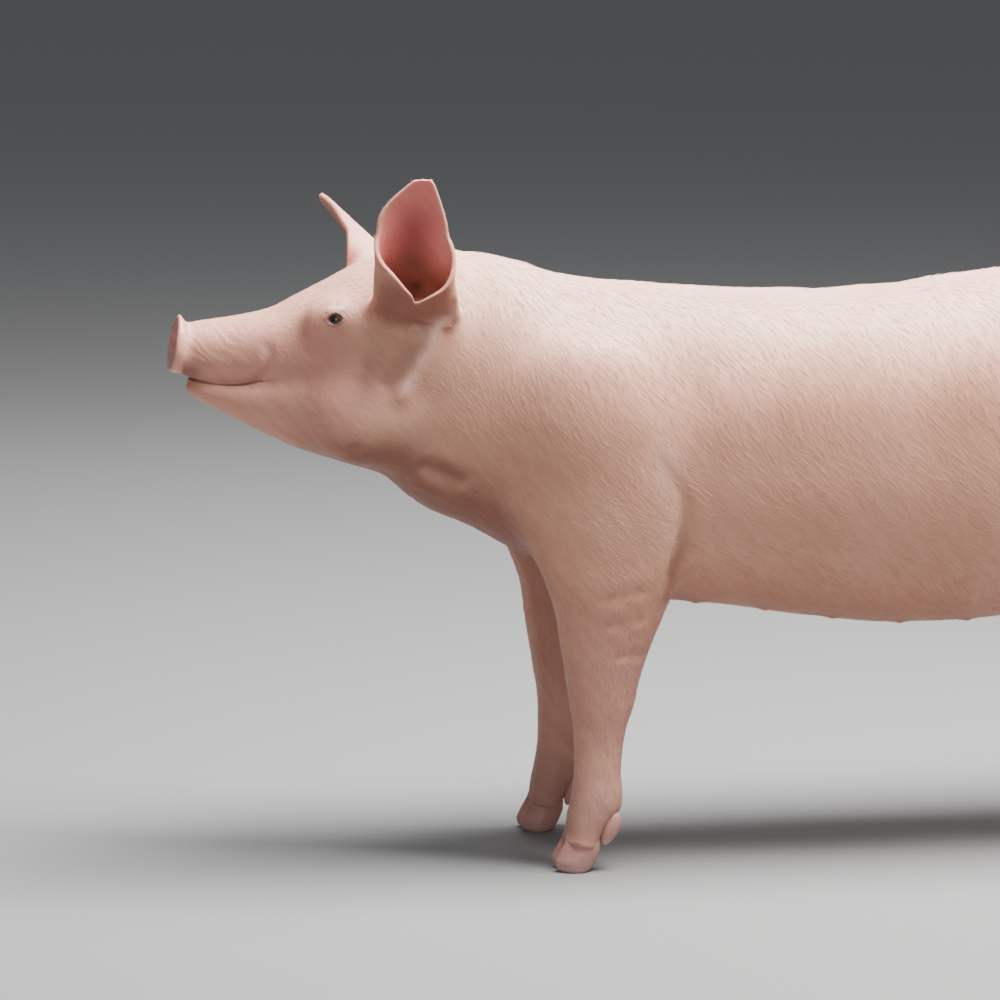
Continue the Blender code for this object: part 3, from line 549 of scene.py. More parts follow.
def body_distance(p):
    """Signed distance from the coat's surface. Each shape is only measured near its own box."""
    d = np.full(len(p), 0.5)
    for distance, (low, high), fillet in body_shapes:
        near = np.all((p > low - fillet - 0.02) & (p < high + fillet + 0.02), axis=1)
        d[near] = blend(d[near], distance(p[near]), fillet)
    return d


COAT_ON_BODY, COAT_THINNER = 0.0022, 0.0017  # depth of the coat on the body, and how much less on the face
VOXEL = 0.0080  # of the remesh that fuses the rough body


def coat_depth(p):
    """How far the skin lies under the coat's surface: most on the body, least on the face, ears and feet."""
    thin = np.maximum(ease(-0.12, -0.24, p[:, 1]), ease(0.20, 0.12, p[:, 2]))
    thin = np.maximum(thin, ease(0.58, 0.68, p[:, 2]) * ease(-0.09, -0.13, p[:, 1]))
    return COAT_ON_BODY - COAT_THINNER * thin


def skin_field(p):
    return body_distance(p) + coat_depth(p)


def rough_body():
    """Every shape's own rough mesh in one, fused by a remesh."""
    bm = bmesh.new()
    for loft in (neck_and_trunk, upper_head, lower_head):
        loft.mesh(bm)
    nose_disc.mesh(bm)
    tail.mesh(bm)
    for side in (1, -1):
        for shape, _ in muscles(side):
            shape.mesh(bm)
    for leg in fore_legs + hind_legs:
        leg.mesh(bm, first=CORONET_HEIGHT)
    for piece in [*ears.values(), *ear_lobes]:
        piece.mesh(bm)
    bmesh.ops.recalc_face_normals(bm, faces=bm.faces)
    mesh = bpy.data.meshes.new("skin")
    bm.to_mesh(mesh)
    bm.free()
    body = bpy.data.objects.new("skin", mesh)
    bpy.context.scene.collection.objects.link(body)
    step = body.modifiers.new("Remesh", "REMESH")
    step.mode, step.voxel_size = "VOXEL", VOXEL
    body.modifiers.new("Triangulate", "TRIANGULATE")
    apply_modifiers(body)
    return body


def apply_modifiers(thing):
    """Give the object the mesh that its modifiers make, and take them off."""
    bpy.context.view_layer.update()
    made = bpy.data.meshes.new_from_object(thing.evaluated_get(bpy.context.evaluated_depsgraph_get()))
    thing.modifiers.clear()
    old = thing.data
    thing.data = made
    bpy.data.meshes.remove(old)


def points_of(mesh):
    p = np.empty(len(mesh.vertices) * 3)
    mesh.vertices.foreach_get("co", p)
    return p.reshape(-1, 3)


def edges_of(mesh):
    ends = np.empty(len(mesh.edges) * 2, int)
    mesh.edges.foreach_get("vertices", ends)
    return ends.reshape(-1, 2).T


LONGEST_MOVE = 0.005  # of a point in one round of settling


def settle(mesh, field, rounds, even=0.5):
    """Move a mesh's points onto the zero of a distance field, and even out their spacing."""
    p = points_of(mesh)
    a, b = edges_of(mesh)
    degree = np.bincount(np.concatenate((a, b)), minlength=len(p))[:, None]
    step = 0.0003
    for turn in range(rounds):
        here = field(p)
        slope = np.stack([field(p + axis) - here for axis in np.eye(3) * step], axis=1) / step
        steep = np.linalg.norm(slope, axis=1)[:, None] + 1e-9
        normal = slope / steep
        p = p - np.clip(here[:, None] / steep, -LONGEST_MOVE, LONGEST_MOVE) * normal
        if turn < rounds - 2:
            sums = [np.bincount(a, p[b, k], len(p)) + np.bincount(b, p[a, k], len(p)) for k in range(3)]
            drift = np.stack(sums, 1) / degree - p
            p = p + even * (drift - (drift * normal).sum(axis=1)[:, None] * normal)
    mesh.vertices.foreach_set("co", p.ravel())
    mesh.update()


def refine(mesh, wanted):
    """Halve the edges of every triangle that has its middle where wanted says."""
    bm = bmesh.new()
    bm.from_mesh(mesh)
    middles = np.array([face.calc_center_median() for face in bm.faces])
    chosen = wanted(middles)
    edges = {edge for face, take in zip(bm.faces, chosen) if take for edge in face.edges}
    bmesh.ops.subdivide_edges(bm, edges=list(edges), cuts=1, use_grid_fill=True)
    bmesh.ops.triangulate(bm, faces=bm.faces[:])
    bm.to_mesh(mesh)
    bm.free()
    mesh.update()


EYE = np.array((0.0645, -0.2535, 0.6090))  # middle of the left eyeball
EYE_RADIUS = 0.0120
ELBOW_CREASE = [
    (0.092, 0.459),
    (0.109, 0.427),
    (0.117, 0.394),
    (0.116, 0.371),
    (0.107, 0.334),
    (0.098, 0.304),
]


def mirrored(p):
    return np.abs(p[:, 0]), p[:, 1], p[:, 2]


def from_eye(p):
    x, y, z = mirrored(p)
    return np.linalg.norm(np.stack([x, y, z], 1) - EYE, axis=1)


def from_line(p, line):
    """Distance to a line of (y, z) spots as seen from the side, and the share of its length run there."""
    line = smooth_table([(k, *spot) for k, spot in enumerate(line)], 2 * len(line))[1]
    spans = np.linalg.norm(np.diff(line, axis=0), axis=1)
    starts = np.concatenate(([0], np.cumsum(spans)))
    best, share = np.full(len(p), FAR_AWAY), np.zeros(len(p))
    flat = p[:, 1:3]
    for a, b, start, span in zip(line, line[1:], starts, spans):
        u = np.clip((flat - a) @ (b - a) / span**2, 0, 1)
        gap = np.linalg.norm(flat - a - u[:, None] * (b - a), axis=1)
        share = np.where(gap < best, (start + u * span) / starts[-1], share)
        best = np.minimum(best, gap)
    return best, share


def on_ears(p):
    return (np.minimum(ears["left"].distance(p), ears["right"].distance(p)) < 0.010) & (p[:, 2] > 0.63)


TEATS_Y = [0.150, 0.228, 0.306, 0.384, 0.462, 0.540, 0.612]  # places of the seven pairs along the belly
TEAT_X = 0.047


def from_teat(p):
    """Distance from the nearest teat as seen from below, far away for anything above the belly."""
    x, y, z = mirrored(p)
    near = np.min([np.hypot(x - TEAT_X, y - place) for place in TEATS_Y], axis=0)
    return np.where(z < 0.345, near, FAR_AWAY)


def fine_parts(p):
    """Head, ears, feet, tail, teats and the crease behind the elbow."""
    x, y, z = mirrored(p)
    elbow = (from_line(p, ELBOW_CREASE)[0] < 0.014) & (x > 0.10)
    return (y < -0.120) | (z < 0.080) | (z > 0.69) | (y > 0.865) | elbow | (from_teat(p) < 0.018)


def finer_parts(p):
    """Snout, mouth, teats and round the eyes."""
    return (p[:, 1] < -0.335) | (from_eye(p) < 0.030) | (from_teat(p) < 0.012)


MOUTH = [
    (-0.440, 0.5415),
    (-0.412, 0.5415),
    (-0.400, 0.5400),
    (-0.384, 0.5370),
    (-0.366, 0.5357),
    (-0.351, 0.5369),
    (-0.338, 0.5400),
    (-0.322, 0.5420),
]


def finest_parts(p):
    """Lids, nostrils and lips."""
    lips = (from_line(p, MOUTH)[0] < 0.0055) & (p[:, 1] > -0.415)
    return (from_eye(p) < 0.0195) | (nose_disc.place(p)[1] < 0.003) | lips


skin = rough_body()
refine(skin.data, fine_parts)
refine(skin.data, on_ears)
settle(skin.data, skin_field, 9)
for wanted in (finer_parts, finest_parts):
    refine(skin.data, wanted)
    settle(skin.data, skin_field, 4, 0.35)


# Where the skin is pressed in or raised. Lines are (y, z) spots as seen from the side.
LIP_CREASE = [(-0.352, 0.5370), (-0.343, 0.5430), (-0.3336, 0.5506), (-0.328, 0.560), (-0.3256, 0.5680)]
CHEEK_CREASE = [(-0.328, 0.5560), (-0.3256, 0.5660), (-0.328, 0.576), (-0.331, 0.586)]
NECK_RIDGE = [
    (-0.143, 0.6200),
    (-0.1523, 0.5977),
    (-0.1592, 0.5827),
    (-0.1679, 0.5665),
    (-0.1764, 0.5501),
    (-0.1898, 0.5286),
    (-0.201, 0.5148),
]
NECK_GROOVE = [(-0.1621, 0.5935), (-0.1731, 0.5751), (-0.1837, 0.5609), (-0.1979, 0.5447), (-0.2137, 0.5323)]
JOWL_CREASE = [(-0.280, 0.4500), (-0.2600, 0.4520), (-0.2440, 0.4590), (-0.2400, 0.4680), (-0.2440, 0.4780)]
THROAT_CREASE = [(-0.172, 0.4514), (-0.1548, 0.4438), (-0.1338, 0.4354), (-0.112, 0.425)]
EAR_WRINKLE = [(-0.176, 0.6070), (-0.166, 0.6040), (-0.154, 0.6030)]
FOREARM_WRINKLES = [
    [(0.010, 0.309), (0.045, 0.312), (0.085, 0.321)],
    [(0.015, 0.279), (0.050, 0.281), (0.080, 0.285)],
    [(0.030, 0.243), (0.060, 0.244), (0.082, 0.240)],
]
HOCK_WRINKLES = [
    [(0.672, 0.262), (0.705, 0.268), (0.735, 0.262)],
    [(0.690, 0.238), (0.715, 0.243), (0.740, 0.238)],
]
EAR_CANAL = np.array((0.080, -0.169, 0.648))
NOSTRIL = (0.0132, 0.0015)  # sideways and up from the middle of the disc
NOSTRIL_RADII = (0.0056, 0.0074)
eye_out = np.array((0.915, -0.375, 0.150))
eye_out /= np.linalg.norm(eye_out)
eye_fore = np.array((-0.37, -0.92, 0.02)) - eye_out * (np.array((-0.37, -0.92, 0.02)) @ eye_out)
eye_fore /= np.linalg.norm(eye_fore)
eye_up = np.cross(eye_fore, eye_out) * -1
eye_up *= np.sign(eye_up[2])


def crease(p, line, width, depth, lip=0.3, open_end=False, start=0.2):
    """How far a crease along a line moves the skin, with a soft lip on both sides. It deepens over its
    start."""
    gap, share = from_line(p, line)
    fade = ease(0, 0.15, 1 - share) if open_end else ease(0, start, share) * ease(0, 0.2, 1 - share)
    return fade * depth * (lip * bump(gap, 2.2 * width, width) - bump(gap, 0, width))


def eye_place(p):
    """Where points are round the eye: forward, up, distance from the middle, and how far out of the lids'
    opening, which is 1 at the edge of the lids."""
    q = np.stack(mirrored(p), 1) - EYE
    fore, up = q @ eye_fore, q @ eye_up
    tilted = up + 0.10 * fore
    edge = (np.abs(fore / 0.0078) ** 1.9 + np.abs(tilted / 0.0056) ** 1.7) ** (1 / 1.8)
    return fore, tilted, np.linalg.norm(q, axis=1), edge


def nostril_edge(p):
    """1 at the edge of the nearer nostril, 0 at its middle."""
    x, _, z, _, _ = nose_disc.place(p)
    u = np.abs(x) - NOSTRIL[0]
    v = z - NOSTRIL[1]
    u, v = u + 0.25 * v, v - 0.25 * u
    return np.hypot(u / NOSTRIL_RADII[0], v / NOSTRIL_RADII[1])


def foot_middle_y(y):
    return np.where(y < 0.4, FORE_FOOT_Y, HIND_FOOT_Y)


def slow_noise(p, size, seed):
    """Gentle lumps about as far apart as size, from -1 to 1."""
    random = np.random.default_rng(seed)
    total = np.zeros(len(p))
    for _ in range(9):
        wave = random.normal(size=3)
        wave *= 2 * math.pi / size / np.linalg.norm(wave) * random.uniform(0.7, 1.4)
        total += np.sin(p @ wave + random.uniform(0, 7))
    return total / 4


def press(p, n):
    """Move the skin's points in or out along its normals n, to give it its folds and features."""
    x, y, z = mirrored(p)
    side = ease(0.25, 0.6, np.abs(n[:, 0]))
    left = p[:, 0] > 0
    push = 0.0011 * slow_noise(p, 0.11, 4) * ease(-0.12, 0.0, y) * ease(0.16, 0.32, z)
    push += crease(p, MOUTH, 0.0011, 0.0026, 0.25, open_end=True) * ease(0.64, 0.60, z)
    push += crease(p, LIP_CREASE, 0.0034, 0.0016) * side
    push += crease(p, CHEEK_CREASE, 0.0050, 0.0010) * side
    push += -crease(p, NECK_RIDGE, 0.0105, 0.0058, 0.15) * side
    push += crease(p, NECK_GROOVE, 0.0100, 0.0042, 0.10) * side
    push += crease(p, JOWL_CREASE, 0.0085, 0.0022, 0.15) * ease(0.1, 0.4, np.abs(n[:, 0]))
    push += crease(p, THROAT_CREASE, 0.0095, 0.0030) * side
    push += crease(p, ELBOW_CREASE, 0.0080, 0.0082, 0.22, start=0.85) * ease(0.085, 0.11, x)
    push += crease(p, EAR_WRINKLE, 0.0024, 0.0026) * left * side
    for line in FOREARM_WRINKLES + HOCK_WRINKLES:
        push += crease(p, line, 0.0042, 0.0020) * side
    furrows = np.sin(2 * math.pi * (0.80 * (z - 0.57) + 0.60 * y) / 0.0085 + 3.5 * slow_noise(p, 0.03, 5))
    push += 0.00016 * furrows * ease(-0.335, -0.375, y) * ease(-0.418, -0.405, y) * ease(0.545, 0.552, z)
    in_canal = bump(np.linalg.norm(np.stack([x, y, z], 1) - EAR_CANAL, axis=1), 0, 0.0070) * left
    push -= 0.0022 * in_canal * ease(0.1, 0.5, n @ ears["left"].out)
    toes = bump(x, LEG_X, 0.0032) * ease(0.062, 0.040, z) * ease(0.1, 0.5, np.abs(n[:, 1]))
    push -= 0.0055 * toes
    above_horn = (z - CORONET_HEIGHT) + CORONET_TILT * (y - foot_middle_y(y))
    push += 0.0007 * bump(above_horn, 0.004, 0.0035) - 0.0012 * ease(0.002, 0.0, above_horn)
    push += 0.0028 * (1 - ease(0.0020, 0.0072, from_teat(p))) * ease(0.2, 0.6, -n[:, 2])
    push += 0.0012 * bump(from_teat(p), 0.0085, 0.003) * ease(0.2, 0.6, -n[:, 2])
    push -= 0.0030 * bump(x, 0, 0.006) * ease(0.80, 0.83, y) * bump(z, 0.47, 0.06)
    _, behind, _, rho, _ = nose_disc.place(p)
    face = ease(0.0050, 0.0025, behind)
    push += face * (0.0011 * bump(rho, 0.93, 0.07) - 0.0012 * ease(0.88, 0.60, rho))
    moved = p + push[:, None] * n
    # nostrils, straight back into the disc
    hollow = 1 - ease(0.55, 1.05, nostril_edge(p))
    rim = bump(nostril_edge(p), 1.22, 0.17)
    inward = nose_disc.frame @ np.array((0, 1.0, 0.10))
    moved += ((0.0150 * hollow - 0.0009 * rim) * face)[:, None] * inward
    # lids, which lie on the eyeball and open over it
    fore, up, far, edge = eye_place(moved)
    upper_fold = bump(up, 0.0100, 0.0030)
    lid = 0.0011 + 0.0002 * bump(edge, 1.15, 0.12) + 0.0019 * upper_fold * ease(0.012, 0.006, np.abs(fore))
    lid += -0.0007 * bump(edge, 1.62, 0.14) - 0.0005 * bump(edge, 2.1, 0.12) * (up < 0)
    open_radius = EYE_RADIUS - 0.0045 + (0.0045 + lid) * ease(0.86, 1.06, edge)
    out = np.stack(mirrored(moved), 1) - EYE
    reach = np.maximum(far, 1e-6)
    wanted_far = np.where(edge < 1.08, open_radius, np.maximum(far + 0.55 * (lid - 0.0011), EYE_RADIUS + lid))
    weight = ease(0.026, 0.018, far) * (out @ eye_out > 0.001)
    change = ((wanted_far / reach - 1) * weight)[:, None] * out
    change[:, 0] *= np.sign(moved[:, 0])
    return moved + change


def normals_of(mesh):
    n = np.empty(len(mesh.vertices) * 3)
    mesh.vertices.foreach_get("normal", n)
    return n.reshape(-1, 3)


spots = points_of(skin.data)
skin_normals = normals_of(skin.data)
pressed = press(spots, skin_normals)
skin.data.vertices.foreach_set("co", pressed.ravel())
skin.data.update()


# The colours of the skin, as the share of light it gives back, some of them painted shade and highlights.
# Coat and skin both take them from here.
# The second colour on the next line is the back's own paler skin together with painted top light and painted
# highlights.
FLANK, PALE_BACK_AND_HIGHLIGHT, LOWER_LEG = (0.570, 0.285, 0.195), (0.730, 0.440, 0.350), (0.500, 0.250, 0.195)
MUZZLE, NOSE, BELLY = (0.570, 0.265, 0.205), (0.600, 0.255, 0.215), (0.420, 0.185, 0.130)
# The first two colours on the next line are the ear's own red together with painted light shining through the
# thin ear; the third is painted shade in the ear's canal.
EAR_LEAF, EAR_RED_AND_GLOW, CANAL_SHADE = (0.780, 0.220, 0.195), (0.420, 0.042, 0.062), (0.080, 0.022, 0.012)
EAR_BACK, EAR_BAND, CANAL = (0.680, 0.360, 0.290), (0.680, 0.300, 0.245), (0.220, 0.070, 0.045)
# The first colour on the next line is painted shade, for creases, folds and hollows and under the body.
PAINTED_SHADE, LID, LID_EDGE = (0.230, 0.085, 0.060), (0.400, 0.165, 0.150), (0.160, 0.065, 0.060)
# Both colours on the next line are painted shade: in the slit of the mouth and in the nostrils.
MOUTH_SHADE, NOSTRIL_SHADE = (0.170, 0.060, 0.048), (0.030, 0.010, 0.009)
# The first colour on the next line is a painted highlight on the fold of the upper lid.
PAINTED_LID_HIGHLIGHT, PASTERN = (0.800, 0.560, 0.480), (0.360, 0.185, 0.155)
DUSTY, FRESH, TANNED = (0.480, 0.225, 0.150), (0.680, 0.375, 0.275), (0.540, 0.300, 0.185)


def tint(colours, colour, amount):
    """Colours moved towards one colour by an amount for each point."""
    amount = np.clip(amount, 0, 1)[:, None]
    return colours * (1 - amount) + np.array(colour) * amount


def base_colours(p, n):
    """The skin's colour at each point, from where it is on the animal, with painted shade and painted
    highlights.
    """
    x, y, z = mirrored(p)
    side = ease(0.25, 0.6, np.abs(n[:, 0]))
    colours = np.tile(np.array(FLANK), (len(p), 1))
    height = (z - 0.28) / 0.37
    # Paler where the skin faces up on the back: the back's own paler skin together with painted top light.
    colours = tint(colours, PALE_BACK_AND_HIGHLIGHT, ease(0.55, 1.0, height) * ease(0.0, 0.9, n[:, 2]))
    colours = tint(colours, BELLY, ease(0.25, -0.05, height) * 0.7)
    colours = tint(colours, LOWER_LEG, ease(0.36, 0.10, z) * 0.9)
    colours = tint(colours, PASTERN, ease(0.12, 0.06, z) * 0.6)
    colours = tint(colours, MUZZLE, ease(-0.14, -0.26, y) * 0.8)
    blotches = slow_noise(p, 0.16, 11)
    colours = tint(colours, DUSTY, 0.28 * ease(0.1, 1.1, blotches))
    colours = tint(colours, FRESH, 0.25 * ease(0.1, 1.1, -blotches))
    colours = tint(colours, TANNED, 0.40 * ease(0.2, 1.2, slow_noise(p, 0.09, 12)) * ease(0.30, -0.05, y))
    # Painted shade along the neck groove and the jowl, throat, ear and lip creases.
    for line, width, amount in (
        (NECK_GROOVE, 0.012, 0.30),
        (JOWL_CREASE, 0.010, 0.16),
        (THROAT_CREASE, 0.012, 0.18),
        (EAR_WRINKLE, 0.0028, 0.45),
        (LIP_CREASE, 0.0040, 0.20),
    ):
        gap, share = from_line(p, line)
        strength = amount * bump(gap, 0, width) * side * ease(0, 0.2, share) * ease(0, 0.2, 1 - share)
        colours = tint(colours, PAINTED_SHADE, strength)
    # Painted shade in the crease behind the elbow, darkest at its lower end, and a painted highlight on the
    # bulge in front of it.
    gap, share = from_line(p, ELBOW_CREASE)
    colours = tint(colours, PAINTED_SHADE, 0.75 * bump(gap, 0, 0.0075) * side * ease(0.35, 0.9, share))
    colours = tint(colours, PALE_BACK_AND_HIGHLIGHT, 0.45 * bump(gap, 0.016, 0.012) * side * (y < 0.115) * ease(0.9, 0.5, share))
    # A painted highlight along the ridge of the neck.
    gap, share = from_line(p, NECK_RIDGE)
    colours = tint(colours, PALE_BACK_AND_HIGHLIGHT, 0.85 * bump(gap, 0, 0.0085) * side * ease(0, 0.3, 1 - share))
    # Painted shade along the slit of the mouth, darkest at its front.
    gap, share = from_line(p, MOUTH)
    dark = 0.30 + 0.65 * ease(0.34, 0.18, share) + 0.25 * bump(share, 0.78, 0.12)
    colours = tint(colours, MOUTH_SHADE, dark * bump(gap, 0, 0.0019) * ease(0.64, 0.60, z) * ease(0, 0.25, 1 - share))
    # Painted shadow under the snout's disc.
    colours = tint(colours, PAINTED_SHADE, 0.90 * bump(y, -0.411, 0.014) * bump(z, 0.549, 0.011))
    _, behind, _, rho, _ = nose_disc.place(p)
    on_disc = ease(0.0130, 0.0090, behind) * ease(1.25, 1.10, rho)
    colours = tint(colours, NOSE, 0.85 * on_disc)
    colours = tint(colours, FRESH, on_disc * bump(rho, 1.0, 0.07) * 0.6)
    # Painted shade inside the nostrils.
    colours = tint(colours, NOSTRIL_SHADE, ease(1.10, 0.80, nostril_edge(p)) * ease(0.024, 0.018, behind))
    fore, lid_up, far, edge = eye_place(p)
    near_eye = ease(0.024, 0.018, far)
    # A painted highlight on the fold above the upper lid.
    upper_fold = near_eye * 0.9 * bump(lid_up, 0.0098, 0.0030) * ease(0.011, 0.004, np.abs(fore))
    colours = tint(colours, PAINTED_LID_HIGHLIGHT, upper_fold)
    colours = tint(colours, LID, near_eye * bump(edge, 1.22, 0.24) * 0.85)
    colours = tint(colours, LID_EDGE, near_eye * ease(1.22, 1.02, edge))
    # Painted shade in the crease round the lids.
    colours = tint(colours, PAINTED_SHADE, near_eye * 0.25 * bump(edge, 1.55, 0.10))
    tear = np.hypot((fore - 0.0125) / 0.0060, (lid_up + 0.001) / 0.0014)
    colours = tint(colours, LID, 0.6 * bump(tear, 0, 1.0) * near_eye)
    for ear in ears.values():
        v, reach, margin, inside, gap = ear.place(p)
        on = ease(0.0095, 0.0065, gap) * ease(0.02, 0.14, v)
        inner = ease(-0.0008, 0.0012, inside) * on * ease(1.02, 0.90, margin)
        colours = tint(colours, EAR_BACK, on * ease(0.35, 0.55, v) * 0.8)
        # The inner leaf's pink here and the crimson in its middle below are the ear's own red together with
        # painted light shining through the thin ear.
        colours = tint(colours, EAR_LEAF, inner * ease(0.10, 0.35, v))
        # Darker pink along the margins: painted shade to dull the rim where the light catches it.
        colours = tint(colours, EAR_BAND, 0.7 * on * ease(0.84, 0.97, margin) * ease(0.12, 0.20, v))
        middle = bump(reach, 0.006, 0.021)
        colours = tint(colours, EAR_RED_AND_GLOW, inner * middle * ease(0.30, 0.45, v) * ease(0.90, 0.62, v))
        rear = inner * 0.80 * bump(reach, -0.042, 0.020) * ease(0.15, 0.3, v) * ease(0.85, 0.6, v)
        colours = tint(colours, EAR_BAND, rear)
        colours = tint(colours, CANAL, 0.75 * inner * ease(0.50, 0.28, v))
        colours = tint(colours, CANAL, inner * bump(reach, 0.004, 0.020) * ease(0.62, 0.40, v))
    left = p[:, 0] > 0
    # Painted shade in the ear's canal.
    from_canal = np.linalg.norm((p - EAR_CANAL) / np.array((1, 0.85, 1.5)), axis=1)
    canal = bump(from_canal, 0, 0.0075) * left * ease(-0.2, 0.3, n @ ears["left"].out)
    colours = tint(colours, CANAL_SHADE, canal)
    for lobe in ear_lobes:
        on_lobe = 0.7 * ease(0.0035, 0.0010, lobe.distance(p)) * ease(0.35, -0.1, n[:, 1])
        colours = tint(colours, EAR_BAND, on_lobe)
    # Painted shade on the skin that faces down under the neck and brisket.
    below = ease(-0.10, -0.65, n[:, 2]) * ease(0.20, 0.30, z)
    colours = tint(colours, PAINTED_SHADE, 0.90 * below * ease(0.06, -0.08, y) * ease(-0.34, -0.22, y))
    # Painted shade between the forelegs.
    shade_between_legs = ease(0.085, 0.045, x) * ease(0.45, 0.30, z)
    colours = tint(colours, PAINTED_SHADE, 0.45 * shade_between_legs * ease(0.14, 0.06, np.abs(y - 0.04)))
    # Painted shade on the inner sides of the legs.
    shade_on_inner_legs = ease(0.35, 0.75, -n[:, 0] * np.sign(p[:, 0])) * ease(0.02, 0.06, x)
    colours = tint(colours, PAINTED_SHADE, 0.40 * (shade_on_inner_legs * ease(0.40, 0.30, z) * ease(0.12, 0.22, z)))
    return colours


def wetness(p):
    """How moist the skin is: the nose and the rims of the eyes."""
    _, behind, _, rho, _ = nose_disc.place(p)
    _, _, far, edge = eye_place(p)
    nose = ease(0.010, 0.005, behind) * ease(1.2, 1.05, rho)
    return np.maximum(nose, ease(0.020, 0.017, far) * ease(1.25, 1.10, edge))


def lie_of_coat(p, n):
    """The way the bristles point at each spot of the skin, as a unit vector along it."""
    x, y, z = mirrored(p)
    height = np.clip((z - 0.28) / 0.37, 0, 1)
    down = np.radians(12 + 62 * height)
    body = np.stack([0 * x, np.cos(down), -np.sin(down)], 1)
    down = np.radians(14 + 26 * ease(0.60, 0.48, z))
    head = np.stack([0 * x, np.cos(down), -np.sin(down)], 1)
    leg = np.tile(np.array((0, 0.25, -0.97)), (len(p), 1))
    on_head, on_leg = ease(-0.08, -0.20, y)[:, None], ease(0.38, 0.27, z)[:, None]
    lie = body * (1 - on_head) + head * on_head
    lie = lie * (1 - on_leg) + leg * on_leg
    for ear in ears.values():
        v, reach, margin, inside, gap = ear.place(p)
        on = (ease(0.012, 0.007, gap) * ease(0.15, 0.30, v))[:, None]
        outward = np.sign(reach)[:, None] * ear.fore * (0.2 + 0.9 * margin)[:, None]
        lie = lie * (1 - on) + (ear.up + outward * (inside > 0)[:, None]) * on
    gap, which = tail.nearest(p)
    along = np.diff(tail.line, axis=0)[which]
    along /= np.linalg.norm(along, axis=1)[:, None]
    on_tail = (ease(0.010, 0.004, gap) * ease(0.845, 0.865, y))[:, None]
    lie = lie * (1 - on_tail) + along * on_tail
    swirl = 0.22 * slow_noise(p, 0.07, 21)[:, None]
    lie = lie - (lie * n).sum(1)[:, None] * n
    lie = lie + swirl * np.cross(n, lie)
    return lie / (np.linalg.norm(lie, axis=1)[:, None] + 1e-9)


def store(mesh, name, kind, values, domain="POINT"):
    """Keep values on a mesh under a name."""
    layer = mesh.attributes.new(name, kind, domain)
    fields = {"FLOAT_VECTOR": "vector", "FLOAT2": "vector", "FLOAT_COLOR": "color"}
    flat = np.ascontiguousarray(values, int if kind == "INT" else float).ravel()
    layer.data.foreach_set(fields.get(kind, "value"), flat)


skin_normals = normals_of(skin.data)
colours = base_colours(pressed, skin_normals)
store(skin.data, "base_colours", "FLOAT_COLOR", np.concatenate([colours, np.ones((len(colours), 1))], 1))
store(skin.data, "wetness", "FLOAT", wetness(pressed))
skin.data.transform(Matrix.Translation((0, -MIDDLE_Y, 0)))
skin.data.shade_smooth()


class Value:
    """A number that a node tree works out. Sums with it add Math nodes."""

    def __init__(self, net, socket):
        self.net, self.socket = net, socket

    def math(self, operation, *terms):
        return self.net.node("ShaderNodeMath", {"operation": operation}, dict(enumerate(terms)))

    def __add__(self, other):
        return self.math("ADD", self, other)

    def __radd__(self, other):
        return self.math("ADD", other, self)

    def __sub__(self, other):
        return self.math("SUBTRACT", self, other)

    def __rsub__(self, other):
        return self.math("SUBTRACT", other, self)

    def __mul__(self, other):
        return self.math("MULTIPLY", self, other)


class Net:
    """A node tree with one way to add a node."""

    def __init__(self, tree):
        self.tree = tree

    def node(self, kind, settings=None, inputs=None, output=0):
        """Add a node: its settings first, then numbers or links for its sockets. Gives one of its outputs."""
        made = self.tree.nodes.new(kind)
        for name, value in (settings or {}).items():
            setattr(made, name, value)
        for key, value in (inputs or {}).items():
            socket = self.socket(made.inputs, key)
            if isinstance(value, Value):
                self.tree.links.new(value.socket, socket)
            else:
                socket.default_value = value
        return Value(self, self.socket(made.outputs, output))

    @staticmethod
    def socket(sockets, key):
        """The socket with a number, or the first one in use with a name."""
        if isinstance(key, int):
            return sockets[key]
        return next(socket for socket in sockets if socket.enabled and socket.name == key)

    def attribute(self, name, output="Color"):
        """What is kept on the mesh under a name."""
        return self.node("ShaderNodeAttribute", {"attribute_name": name}, output=output)

    def feed(self, value, shader, name):
        self.tree.links.new(value.socket, shader.inputs[name])

    def mix(self, amount, a, b, how="MIX"):
        """A colour between a and b."""
        a, b = [c if isinstance(c, Value) else (*c, 1) for c in (a, b)]
        settings = {"data_type": "RGBA", "blend_type": how}
        return self.node("ShaderNodeMix", settings, {0: amount, 6: a, 7: b}, 2)

    def noise(self, where, scale, detail=2.0, roughness=0.5):
        inputs = {"Vector": where, "Scale": scale, "Detail": detail, "Roughness": roughness}
        return self.node("ShaderNodeTexNoise", {}, inputs, "Fac")

    def stretched(self, where, turn, size):
        """Coordinates turned about X and then squeezed, for a pattern that runs one way."""
        point = {"vector_type": "POINT"}
        turned = self.node("ShaderNodeMapping", point, {"Vector": where, "Rotation": (turn, 0, 0)})
        return self.node("ShaderNodeMapping", point, {"Vector": turned, "Scale": size})


def new_material(name, colour, roughness):
    """A material with its Principled shader's own colour and roughness, and a net to add to."""
    material = bpy.data.materials.new(name)
    material.use_nodes = True
    shader = material.node_tree.nodes["Principled BSDF"]
    shader.inputs["Base Color"].default_value = (*colour, 1)
    shader.inputs["Roughness"].default_value = roughness
    shader.inputs["Metallic"].default_value = 0.0
    return material, shader, Net(material.node_tree)


